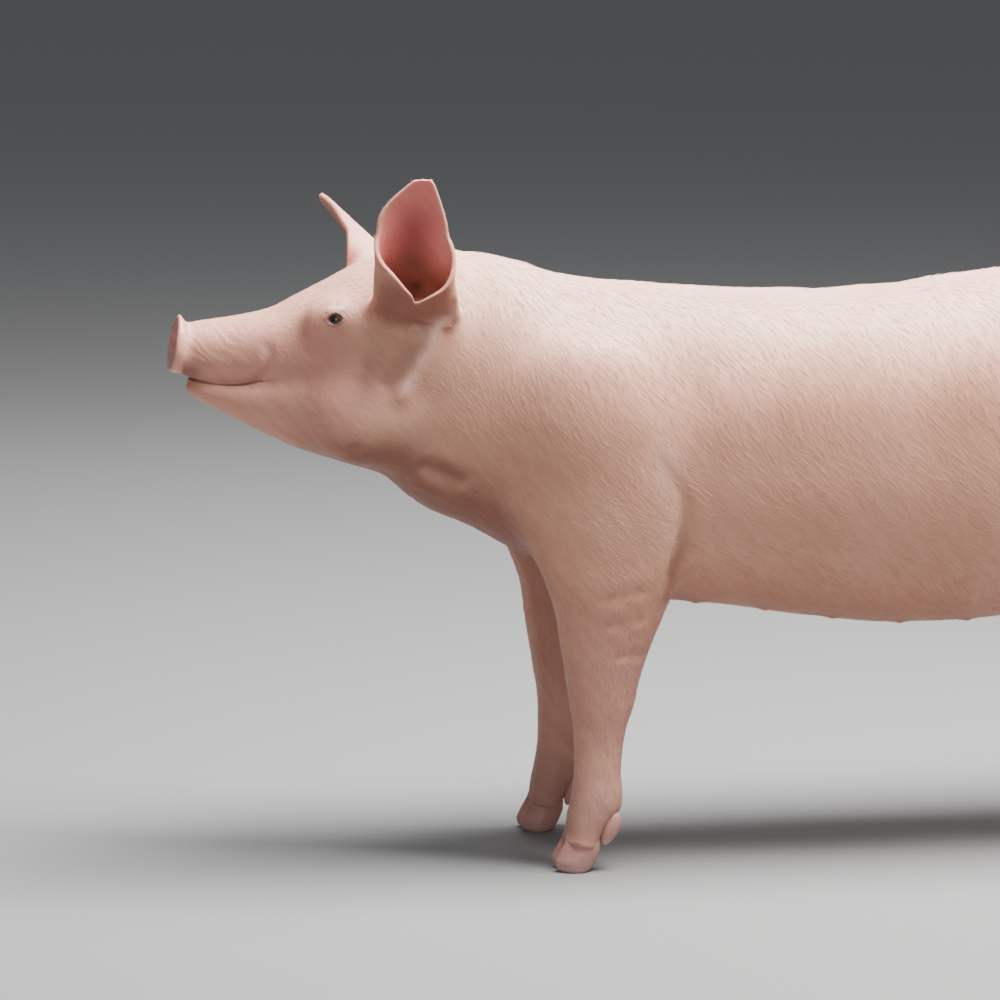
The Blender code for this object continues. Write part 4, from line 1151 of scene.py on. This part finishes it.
skin_material, shader, net = new_material("pig_skin", FLANK, 0.5)
where = net.node("ShaderNodeTexCoord", output="Object")
tone = net.attribute("base_colours")
wet = net.attribute("wetness", "Fac")
patches = net.noise(where, 38, 4, 0.6)
speckle = net.noise(where, 420, 3, 0.6)
worn = net.mix((patches - 0.35) * 0.55, tone, (0.90, 0.82, 0.76), "MULTIPLY")
blushed = net.mix((speckle - 0.45) * 0.5, worn, (0.80, 0.55, 0.50), "MULTIPLY")
streaks = net.noise(net.stretched(where, math.radians(50), (1, 0.10, 1)), 95, 3, 0.55)
streaked = net.mix((streaks - 0.36) * 1.5, blushed, (0.80, 0.72, 0.66), "MULTIPLY")
net.feed(streaked, shader, "Base Color")
net.feed(0.56 + (patches - 0.5) * 0.18 - wet * 0.26, shader, "Roughness")
along_coat = net.stretched(where, math.radians(50), (1, 0.07, 1))
hairs = net.noise(along_coat, 520, 2, 0.55)
pores = net.noise(where, 900, 2, 0.5)
wrinkles = net.noise(net.stretched(where, math.radians(-35), (1, 1.0, 0.30)), 170, 3, 0.6)
relief = hairs * 0.55 + pores * 0.25 + wrinkles * 0.65
bumped = net.node("ShaderNodeBump", {}, {"Strength": 0.45, "Distance": 0.0012, "Height": relief}, "Normal")
net.feed(bumped, shader, "Normal")
shader.inputs["Subsurface Weight"].default_value = 0.12
shader.inputs["Subsurface Radius"].default_value = (0.010, 0.0035, 0.0020)
shader.inputs["Subsurface Scale"].default_value = 1.0
shader.inputs["Specular IOR Level"].default_value = 0.42
skin.data.materials.clear()
skin.data.materials.append(skin_material)

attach(skin, "root")
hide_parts("head", "snout", "lower_jaw", "neck", "trunk", "tail", "ear_left", "ear_right")
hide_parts("fore_leg_left", "fore_leg_right", "hind_leg_left", "hind_leg_right")

# ---------------------------------------------------------------- eyes
# Each eye is a wet ball that bulges in front. The lids lie on it and leave a slit, through which the brown
# iris and the wide pupil show.

IRIS, PUPIL, WHITE = (0.060, 0.026, 0.014), (0.004, 0.003, 0.004), (0.420, 0.300, 0.270)


def finished(name, bm, material, values):
    """A smooth piece in its own place, with its colours in the attribute markings."""
    bmesh.ops.translate(bm, vec=(0, -MIDDLE_Y, 0), verts=bm.verts)
    bmesh.ops.recalc_face_normals(bm, faces=bm.faces)
    mesh = bpy.data.meshes.new(name)
    bm.to_mesh(mesh)
    bm.free()
    mesh.shade_smooth()
    mesh.materials.append(material)
    store(mesh, "base_colours", "FLOAT_COLOR", np.concatenate([values, np.ones((len(values), 1))], 1))
    piece = bpy.data.objects.new(name, mesh)
    bpy.context.scene.collection.objects.link(piece)
    return piece


eye_material, shader, net = new_material("wet_eye", IRIS, 0.05)
tone = net.attribute("base_colours")
net.feed(tone, shader, "Base Color")
shader.inputs["Specular IOR Level"].default_value = 0.65
for side, name in ((1, "left"), (-1, "right")):
    bm = bmesh.new()
    bmesh.ops.create_uvsphere(bm, u_segments=56, v_segments=40, radius=1)
    facing = Vector((side * eye_out[0], eye_out[1], eye_out[2]))
    turn = Vector((0, 0, 1)).rotation_difference(facing).to_matrix()
    values = []
    for v in bm.verts:
        from_pole = v.co.angle(Vector((0, 0, 1)))
        cornea = 0.0007 * (1 - float(ease(0.30, 0.75, from_pole)))
        outward = turn @ v.co
        wide = math.hypot(from_pole, 0.55 * outward.z if from_pole < 1 else 0)
        iris = float(ease(0.66, 0.60, from_pole))
        pupil = float(ease(0.36, 0.30, wide))
        colour = np.array(WHITE) * (1 - iris) + np.array(IRIS) * iris
        values.append(colour * (1 - pupil) + np.array(PUPIL) * pupil)
        v.co = outward * (EYE_RADIUS + cornea) + Vector((side * EYE[0], EYE[1], EYE[2]))
    eye = finished("eye_ball_" + name, bm, eye_material, np.array(values))
    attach(eye, "root")
    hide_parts("eye_" + name)

# ---------------------------------------------------------------- hooves
# Each foot stands on two claws, with a smaller dewclaw behind each. They are horn, grown down from under the
# edge of the skin, with faint rings.

CLAW_X = 0.0142  # from the middle of a foot to the middle of a claw
SPUR_X, SPUR_Y, SPUR_Z = 0.0160, 0.0350, 0.0475  # from the middle of a foot to the middle of a dewclaw
CLAW_LEVELS = [  # height, toe, heel, half width
    (0.0000, -0.0190, 0.0090, 0.0098),
    (0.0015, -0.0212, 0.0112, 0.0112),
    (0.0050, -0.0243, 0.0145, 0.0124),
    (0.0110, -0.0256, 0.0180, 0.0129),
    (0.0180, -0.0228, 0.0212, 0.0128),
    (0.0260, -0.0186, 0.0238, 0.0124),
    (0.0340, -0.0140, 0.0240, 0.0108),
    (0.0400, -0.0100, 0.0220, 0.0085),
]
CLAW_SPOKES = 44
HORN, HORN_TIP, HORN_ROOT = (0.420, 0.215, 0.190), (0.480, 0.285, 0.245), (0.400, 0.185, 0.155)


def claw(bm, x, y, inward):
    """One claw: a flat sole, a wall that slopes at the toe, and a top that goes in under the skin."""
    heights, curve = smooth_table(CLAW_LEVELS, 40)
    loops = []
    for z, (toe, heel, half) in zip(heights, curve):
        loop = []
        for k in range(CLAW_SPOKES):
            turn = 2 * math.pi * k / CLAW_SPOKES
            fore = max(0, -math.sin(turn))
            across = half * math.cos(turn) * (1 - 0.22 * fore) + inward * 0.0025 * fore
            ring = 0.00012 * math.sin(z * 2 * math.pi / 0.0032 + 2 * fore)
            along = (toe + heel) / 2 + (heel - toe) / 2 * math.sin(turn)
            spot = (x + across + ring * math.cos(turn), y + along + ring * math.sin(turn), z)
            loop.append(bm.verts.new(spot))
        loops.append(loop)
    sew(bm, loops)


def dewclaw(bm, x, y, outward):
    """A rounded horn behind the pastern, pointing down and forward."""
    made = bmesh.ops.create_uvsphere(bm, u_segments=32, v_segments=24, radius=1)["verts"]
    turn = Matrix.Rotation(math.radians(-outward * 8), 3, "Y") @ Matrix.Rotation(math.radians(-24), 3, "X")
    for v in made:
        taper = 0.80 + 0.20 * v.co.z
        v.co = Vector((v.co.x * 0.0094 * taper, v.co.y * 0.0120 * taper, v.co.z * 0.0195))
        v.co = turn @ v.co + Vector((x, y, SPUR_Z))


horn_material, shader, net = new_material("pale_horn", HORN, 0.42)
where = net.node("ShaderNodeTexCoord", output="Object")
tone = net.attribute("base_colours")
grain = net.noise(net.stretched(where, 0, (1, 1, 0.15)), 420, 3, 0.6)
rings = net.noise(net.stretched(where, 0, (0.12, 0.12, 1)), 330, 3, 0.6)
worn = net.mix((grain - 0.4) * 0.9, tone, (0.72, 0.60, 0.52), "MULTIPLY")
net.feed(worn, shader, "Base Color")
net.feed(0.36 + grain * 0.22, shader, "Roughness")
relief = rings + grain * 0.4
bumped = net.node("ShaderNodeBump", {}, {"Strength": 0.35, "Distance": 0.0006, "Height": relief}, "Normal")
net.feed(bumped, shader, "Normal")
claws, spurs = bmesh.new(), bmesh.new()
claw_nodes, spur_nodes = [], []
for side, side_name in ((1, "left"), (-1, "right")):
    for foot_y, foot in ((FORE_FOOT_Y, "fore"), (HIND_FOOT_Y, "hind")):
        for out, place in ((1, "outer"), (-1, "inner")):
            claw(claws, side * (LEG_X + out * CLAW_X), foot_y, -side * out)
            dewclaw(spurs, side * (LEG_X + out * SPUR_X), foot_y + SPUR_Y, side * out)
            claw_nodes.append("_".join(("hoof", foot, side_name, place)))
            spur_nodes.append("_".join(("dewclaw", foot, side_name, place)))
for name, bm, nodes in (("claws", claws, claw_nodes), ("dewclaws", spurs, spur_nodes)):
    height = np.array([v.co.z for v in bm.verts])
    low, high = (0.0, 0.030) if name == "claws" else (0.028, 0.066)
    share = (height - low) / (high - low)
    values = tint(np.tile(np.array(HORN), (len(height), 1)), HORN_TIP, ease(0.45, 0.0, share) * 0.8)
    values = tint(values, HORN_ROOT, ease(0.55, 0.95, share) if name == "claws" else ease(0.10, 0.60, share))
    horn = finished(name, bm, horn_material, values)
    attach(horn, "root")
    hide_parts(*nodes)

# ---------------------------------------------------------------- coat
# The coat is short whitish bristles that lie back and down, thin enough for the skin to show between them.
# Each tuft is one flat spike, rooted in the skin, at a spot and with a lie taken from it.


def tuft_sizes(p, n):
    """Width, length and height of the tufts at each spot, and how many grow there for each square metre."""
    _, y, z = mirrored(p)
    sizes = np.tile(np.array((0.0005, 0.015, 0.0003)), (len(p), 1))
    number = np.full(len(p), 34000.0)

    def towards(size, count, amount):
        nonlocal sizes, number
        sizes = tint(sizes, size, amount)
        number = number * (1 - amount) + count * amount

    towards((0.0005, 0.018, 0.0004), 32000, ease(0.60, 0.64, z))
    towards((0.0005, 0.013, 0.0003), 22000, ease(-0.2, -0.7, n[:, 2]) * ease(0.26, 0.30, z))
    towards((0.0004, 0.012, 0.0003), 34000, ease(0.16, 0.06, y) * ease(0.56, 0.48, z))
    towards((0.0004, 0.010, 0.0003), 34000, ease(-0.04, -0.15, y))
    towards((0.0004, 0.008, 0.0002), 34000, ease(-0.15, -0.25, y))
    towards((0.0003, 0.005, 0.0002), 24000, ease(-0.31, -0.37, y))
    towards((0.0005, 0.009, 0.0004), 34000, ease(0.38, 0.28, z))
    towards((0.0004, 0.007, 0.0003), 40000, ease(0.16, 0.08, z))
    for ear in ears.values():
        v, _, margin, inside, gap = ear.place(p)
        on = ease(0.0095, 0.0065, gap) * ease(0.10, 0.25, v)
        towards((0.0004, 0.0050, 0.0002), 20000, on)
        towards((0.0004, 0.0040, 0.0002), 4000, on * ease(0, 0.0015, inside) * ease(0.97, 0.85, margin))
    on_tail = ease(0.010, 0.004, tail.distance(p)) * ease(0.845, 0.865, y)
    share = tail.nearest(p)[1] / (len(tail.line) - 2)
    towards((0.0007, 0.013, 0.0009), 38000, on_tail)
    towards((0.0008, 0.040, 0.0020), 110000, on_tail * ease(0.86, 0.93, share))
    _, behind, _, _, _ = nose_disc.place(p)
    bare = ease(0.016, 0.010, behind) + (from_teat(p) < 0.0045)
    _, _, far, edge = eye_place(p)
    bare += ease(0.022, 0.017, far) * ease(1.9, 1.5, edge)
    bare += np.exp(-((from_line(p, MOUTH)[0] / 0.0022) ** 2)) * (z < 0.6) * (y < -0.32)
    return sizes, number * np.clip(1 - bare, 0, 1)


corners = np.empty(len(skin.data.loops), int)
skin.data.loops.foreach_get("vertex_index", corners)
corners = corners.reshape(-1, 3)
middles, facings = pressed[corners].mean(axis=1), skin_normals[corners].mean(axis=1)


def part_of_skin(p, n):
    """Which part of the plan of the skin each face is on."""
    x, y, z = mirrored(p)
    part = np.zeros(len(p), int)
    part[(n[:, 1] > 0.72) & (y > 0.70)] = 1
    on_legs = ((z < 0.30) & (x > 0.050) & (y < 0.4)) | ((z < 0.36) & (x > 0.040) & (y > 0.56))
    part[on_legs] = np.where(p[on_legs, 0] > 0, 2, 3) + 2 * (y[on_legs] > 0.4)
    for k, ear in enumerate(ears.values()):
        v, _, _, inside, gap = ear.place(p)
        on = (gap < 0.0075) & (v > 0.12)
        part[on] = 6 + 2 * k + (inside[on] > 0)
    part[(tail.distance(p) < 0.004) & (y > 0.868)] = 10
    part[(nose_disc.place(p)[1] < 0.0025) & (n[:, 1] < -0.5)] = 11
    return part


def turns_round(p, across, up):
    return np.arctan2((p * across).sum(-1), (p * up).sum(-1)) / (2 * math.pi)


def on_the_plan(p, part, middle):
    """Where corners p of faces on a part lie on that part's own rectangle, from 0 to 1 both ways."""
    if part in (1, 11):
        low, size = ((0.0, 0.48), 0.36) if part == 1 else ((0.0, 0.58), 0.09)
        return np.stack([(p[..., 0] - low[0]) / size + 0.5, (p[..., 2] - low[1]) / size + 0.5], -1)
    if part in (6, 7, 8, 9):
        ear = list(ears.values())[(part - 6) // 2]
        v, reach, _, _, _ = ear.place(p.reshape(-1, 3))
        return np.stack([(reach + 0.075) / 0.21, v], -1).reshape(*p.shape[:-1], 2)
    if part == 0:
        hub = np.interp(p[..., 1], (-0.40, -0.20, 0.0), (0.565, 0.545, 0.45))
        hub_middle = np.interp(middle[:, 1], (-0.40, -0.20, 0.0), (0.565, 0.545, 0.45))
        turn = np.arctan2(p[..., 0], p[..., 2] - hub) / (2 * math.pi)
        main = np.arctan2(middle[:, 0], middle[:, 2] - hub_middle) / (2 * math.pi)
        along = (p[..., 1] + 0.46) / 1.36
    elif part == 10:
        which = tail.nearest(middle)[1]
        ahead = np.diff(tail.line, axis=0)[which]
        ahead /= np.linalg.norm(ahead, axis=1)[:, None]
        across = np.cross(ahead, (1, 0, 0))
        across /= np.linalg.norm(across, axis=1)[:, None]
        up = np.cross(ahead, across)
        base = tail.line[which]
        main = turns_round(middle - base, across, up)
        turn = turns_round(p - base[:, None], across[:, None], up[:, None])
        along = (which[:, None] + ((p - base[:, None]) * ahead[:, None]).sum(-1) / 0.008) / len(tail.line)
    else:
        leg = (fore_legs if part < 4 else hind_legs)[part % 2]
        column, hub_x = leg.section(p[..., 2].ravel())[1], (LEG_X, -LEG_X)[part % 2]
        turn = np.arctan2(p[..., 0] - hub_x, p[..., 1] - column.reshape(p.shape[:-1])) / (2 * math.pi)
        main = np.arctan2(middle[:, 0] - hub_x, middle[:, 1] - leg.section(middle[:, 2])[1]) / (2 * math.pi)
        along = p[..., 2] / 0.38
    turn = main[:, None] + (turn - main[:, None] + 0.5) % 1 - 0.5
    return np.stack([turn + 0.5, along], -1)


PLAN = [  # the rectangle of each part on the plan of the skin: left, bottom, width, height
    (0.010, 0.010, 0.560, 0.700),
    (0.600, 0.780, 0.190, 0.190),
    (0.600, 0.010, 0.085, 0.240),
    (0.700, 0.010, 0.085, 0.240),
    (0.800, 0.010, 0.085, 0.240),
    (0.900, 0.010, 0.085, 0.240),
    (0.600, 0.280, 0.110, 0.100),
    (0.730, 0.280, 0.110, 0.100),
    (0.860, 0.280, 0.110, 0.100),
    (0.600, 0.420, 0.110, 0.100),
    (0.730, 0.420, 0.060, 0.180),
    (0.820, 0.420, 0.070, 0.070),
]
parts = part_of_skin(middles, facings)
plan = np.zeros((len(corners), 3, 2))
for part, (left, bottom, width, height) in enumerate(PLAN):
    own = parts == part
    if own.any():
        spot = on_the_plan(pressed[corners[own]], part, middles[own])
        plan[own] = np.clip(spot, -0.02, 1.02) * (width, height) + (left, bottom)
sizes, number = tuft_sizes(pressed, skin_normals)
store(skin.data, "plan", "FLOAT2", plan, "CORNER")
store(skin.data, "lie", "FLOAT_VECTOR", lie_of_coat(pressed, skin_normals))
store(skin.data, "tuft_size", "FLOAT_VECTOR", sizes)
store(skin.data, "tuft_number", "FLOAT", number)
on_leg = (parts >= 2) & (parts <= 5)
y_of_face = middles[:, 1]
piece_of_face = np.select([on_leg, y_of_face < -0.125, y_of_face < 0.13, y_of_face < 0.44], [4, 0, 1, 2], 3)
piece_of_face[(parts >= 6) & (parts <= 9)] = 0
store(skin.data, "coat_piece", "INT", piece_of_face, "FACE")

# One tuft, a unit long, wide and high: a flat three-sided spike that rises from its root and lies back to its
# tip. Its rings are: place, half width, height of the sides and of the ridge.
TUFT = [(0.00, 0.42, -0.90, -0.45), (0.42, 0.50, 0.45, 1.00)]
bm = bmesh.new()
rings = [
    [bm.verts.new((-half, place, low)), bm.verts.new((half, place, low)), bm.verts.new((0, place, ridge))]
    for place, half, low, ridge in TUFT
]
tip = bm.verts.new((0, 1, 0.75))
bm.faces.new(rings[0])
for k in range(3):
    following = (k + 1) % 3
    bm.faces.new((rings[0][k], rings[0][following], rings[1][following], rings[1][k]))
    bm.faces.new((rings[1][k], rings[1][following], tip))
bmesh.ops.triangulate(bm, faces=bm.faces[:])
bmesh.ops.recalc_face_normals(bm, faces=bm.faces)
tuft_mesh = bpy.data.meshes.new("tuft")
bm.to_mesh(tuft_mesh)
bm.free()
own = points_of(tuft_mesh)
ridge = (np.abs(own[:, 0]) < 0.01) & (own[:, 1] < 0.9)
patch = np.stack([0.5 + own[:, 0], 0.86 * own[:, 1] + 0.13 * ridge], 1)
store(tuft_mesh, "patch", "FLOAT2", patch)
store(tuft_mesh, "along", "FLOAT", own[:, 1])
tuft = bpy.data.objects.new("tuft", tuft_mesh)
bpy.context.scene.collection.objects.link(tuft)

coat_material, shader, net = new_material("white_bristle", (0.80, 0.62, 0.50), 0.50)
tone = net.attribute("base_colours")
along = net.attribute("along", "Fac")
shade = net.attribute("shade", "Fac")
paler = net.mix(0.02 + along * 0.06 + shade * 0.14, tone, (0.820, 0.580, 0.450))
net.feed(net.mix((1 - shade) * 0.14, paler, (0.66, 0.55, 0.46), "MULTIPLY"), shader, "Base Color")
shader.inputs["Specular IOR Level"].default_value = 0.35

tree = bpy.data.node_groups.new("bristles", "GeometryNodeTree")
tree.interface.new_socket("Coat", in_out="OUTPUT", socket_type="NodeSocketGeometry")
named = {"Skin": tree.interface.new_socket("Skin", in_out="INPUT", socket_type="NodeSocketGeometry")}
sockets = {"Piece": "Int", "Seed": "Int", "Tuft": "Object", "Patch": "Float", "Bristle": "Material"}
for label, kind in sockets.items():
    named[label] = tree.interface.new_socket(label, in_out="INPUT", socket_type="NodeSocket" + kind)
net = Net(tree)
into = tree.nodes.new("NodeGroupInput")
given = {label: Value(net, into.outputs[label]) for label in named}


def kept(name, kind):
    """A value kept on the skin."""
    return net.node("GeometryNodeInputNamedAttribute", {"data_type": kind}, {"Name": name}, "Attribute")


def chance(low, high, seed):
    inputs = {"Min": low, "Max": high, "Seed": seed}
    return net.node("FunctionNodeRandomValue", {"data_type": "FLOAT"}, inputs, "Value")


def vector(x, y, z):
    return net.node("ShaderNodeCombineXYZ", {}, {0: x, 1: y, 2: z})


own_piece = net.node(
    "FunctionNodeCompare",
    {"data_type": "INT", "operation": "EQUAL"},
    {"A": kept("coat_piece", "INT"), "B": given["Piece"]},
)
roots = net.node(
    "GeometryNodeDistributePointsOnFaces",
    {"distribute_method": "RANDOM"},
    {
        "Mesh": given["Skin"],
        "Selection": own_piece,
        "Density": kept("tuft_number", "FLOAT"),
        "Seed": given["Seed"],
    },
    "Points",
)
off_skin = Value(net, roots.socket.node.outputs["Normal"])
standing = net.node("FunctionNodeAlignRotationToVector", {"axis": "Z"}, {"Vector": off_skin})
laid = net.node(
    "FunctionNodeAlignRotationToVector",
    {"axis": "Y", "pivot_axis": "Z"},
    {"Rotation": standing, "Vector": kept("lie", "FLOAT_VECTOR")},
)
off_lie = vector(chance(-0.01, 0.09, 1), 0.0, chance(-0.26, 0.26, 2))
stray = net.node("FunctionNodeEulerToRotation", {}, {0: off_lie})
local = {"rotation_space": "LOCAL"}
turned = net.node("FunctionNodeRotateRotation", local, {"Rotation": laid, "Rotate By": stray})
size = net.node(
    "ShaderNodeVectorMath",
    {"operation": "MULTIPLY"},
    {
        0: kept("tuft_size", "FLOAT_VECTOR"),
        1: vector(chance(0.6, 1.3, 3), chance(0.7, 1.25, 4), chance(0.7, 1.3, 5)),
    },
)
shaded = net.node(
    "GeometryNodeStoreNamedAttribute",
    {"data_type": "FLOAT", "domain": "POINT"},
    {"Geometry": roots, "Name": "shade", "Value": chance(0.0, 1.0, 6)},
)
shape = net.node("GeometryNodeObjectInfo", {}, {"Object": given["Tuft"]}, "Geometry")
placed = net.node(
    "GeometryNodeInstanceOnPoints",
    {},
    {"Points": shaded, "Instance": shape, "Rotation": turned, "Scale": size},
)
solid = net.node("GeometryNodeRealizeInstances", {}, {"Geometry": placed})
from_root = net.node(
    "ShaderNodeVectorMath",
    {"operation": "SUBTRACT"},
    {0: kept("patch", "FLOAT_VECTOR"), 1: (0.5, 0.5, 0)},
)
patch_spot = net.node("ShaderNodeVectorMath", {"operation": "SCALE"}, {0: from_root, "Scale": given["Patch"]})
on_plan = net.node(
    "ShaderNodeVectorMath", {"operation": "ADD"}, {0: kept("plan", "FLOAT_VECTOR"), 1: patch_spot}
)
mapped = net.node(
    "GeometryNodeStoreNamedAttribute",
    {"data_type": "FLOAT2", "domain": "CORNER"},
    {"Geometry": solid, "Name": "OFBake", "Value": on_plan},
)
painted = net.node("GeometryNodeSetMaterial", {}, {"Geometry": mapped, "Material": given["Bristle"]})
tree.links.new(painted.socket, tree.nodes.new("NodeGroupOutput").inputs[0])

for k, name in enumerate(("coat_head", "coat_shoulders", "coat_flanks", "coat_rump", "coat_legs")):
    grown = bpy.data.objects.new(name, skin.data)
    bpy.context.scene.collection.objects.link(grown)
    step = grown.modifiers.new("Bristles", "NODES")
    step.node_group = tree
    values = {"Piece": k, "Seed": 11 + k, "Tuft": tuft, "Patch": 0.003, "Bristle": coat_material}
    for label, value in values.items():
        step[named[label].identifier] = value
    bpy.context.view_layer.update()
    made = bpy.data.meshes.new_from_object(grown.evaluated_get(bpy.context.evaluated_depsgraph_get()))
    grown.modifiers.clear()
    grown.data = made
    made.name = name
    for extra in ("plan", "lie", "tuft_size", "tuft_number", "coat_piece", "wetness", "patch"):
        if extra in made.attributes:
            made.attributes.remove(made.attributes[extra])
    made.uv_layers["OFBake"].active = True
    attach(grown, "root")
bpy.data.objects.remove(tuft)
for extra in ("plan", "lie", "tuft_size", "tuft_number", "coat_piece"):
    skin.data.attributes.remove(skin.data.attributes[extra])

# ---------------------------------------------------------------- stage
# A plain pale floor under a faint even sky, with a large soft light above and two weaker ones. The camera is
# at the animal's left side, a little in front of it and above it.

floor_mesh = bpy.data.meshes.new("floor")
floor_mesh.from_pydata([(-45, -45, 0), (45, -45, 0), (45, 45, 0), (-45, 45, 0)], [], [(0, 1, 2, 3)])
floor = bpy.data.objects.new("floor", floor_mesh)
bpy.context.scene.collection.objects.link(floor)
floor_material, _, _ = new_material("studio_floor", (0.21, 0.21, 0.21), 0.85)
floor_mesh.materials.append(floor_material)

world = bpy.data.worlds.new("studio")
bpy.context.scene.world = world
world.use_nodes = True
world.node_tree.nodes["Background"].inputs["Color"].default_value = (0.92, 0.95, 1.0, 1)
world.node_tree.nodes["Background"].inputs["Strength"].default_value = 0.29


def soft_light(name, place, target, size, power, colour):
    """A square softbox that faces the target."""
    light = bpy.data.lights.new(name, "AREA")
    light.size, light.energy, light.color = size, power, colour
    lamp = bpy.data.objects.new(name, light)
    bpy.context.scene.collection.objects.link(lamp)
    lamp.location = place
    lamp.rotation_euler = (Vector(place) - Vector(target)).to_track_quat("Z", "Y").to_euler()
    return lamp


soft_light("top_light", (0.25, 0.75, 3.3), (0, 0.1, 0.5), 2.0, 640, (1.0, 0.99, 0.97))
soft_light("front_light", (3.6, -1.8, 1.2), (0, -0.1, 0.35), 1.8, 24, (1.0, 0.98, 0.95))
soft_light("far_light", (-3.0, 0.2, 2.2), (0, -0.3, 0.5), 2.0, 30, (0.96, 0.98, 1.0))

TARGET = Vector((0, -0.06316 - MIDDLE_Y, 0.39713))
AZIMUTH, ELEVATION, DISTANCE = math.radians(80), math.radians(8.2), 5.5
towards = Vector(
    (math.sin(AZIMUTH) * math.cos(ELEVATION), -math.cos(AZIMUTH) * math.cos(ELEVATION), math.sin(ELEVATION))
)
lens = bpy.data.cameras.new("camera")
lens.lens, lens.sensor_width, lens.sensor_height = 178.2, 36, 36
camera = bpy.data.objects.new("camera", lens)
bpy.context.scene.collection.objects.link(camera)
camera.location = TARGET + DISTANCE * towards
camera.rotation_euler = towards.to_track_quat("Z", "Y").to_euler()
bpy.context.scene.camera = camera
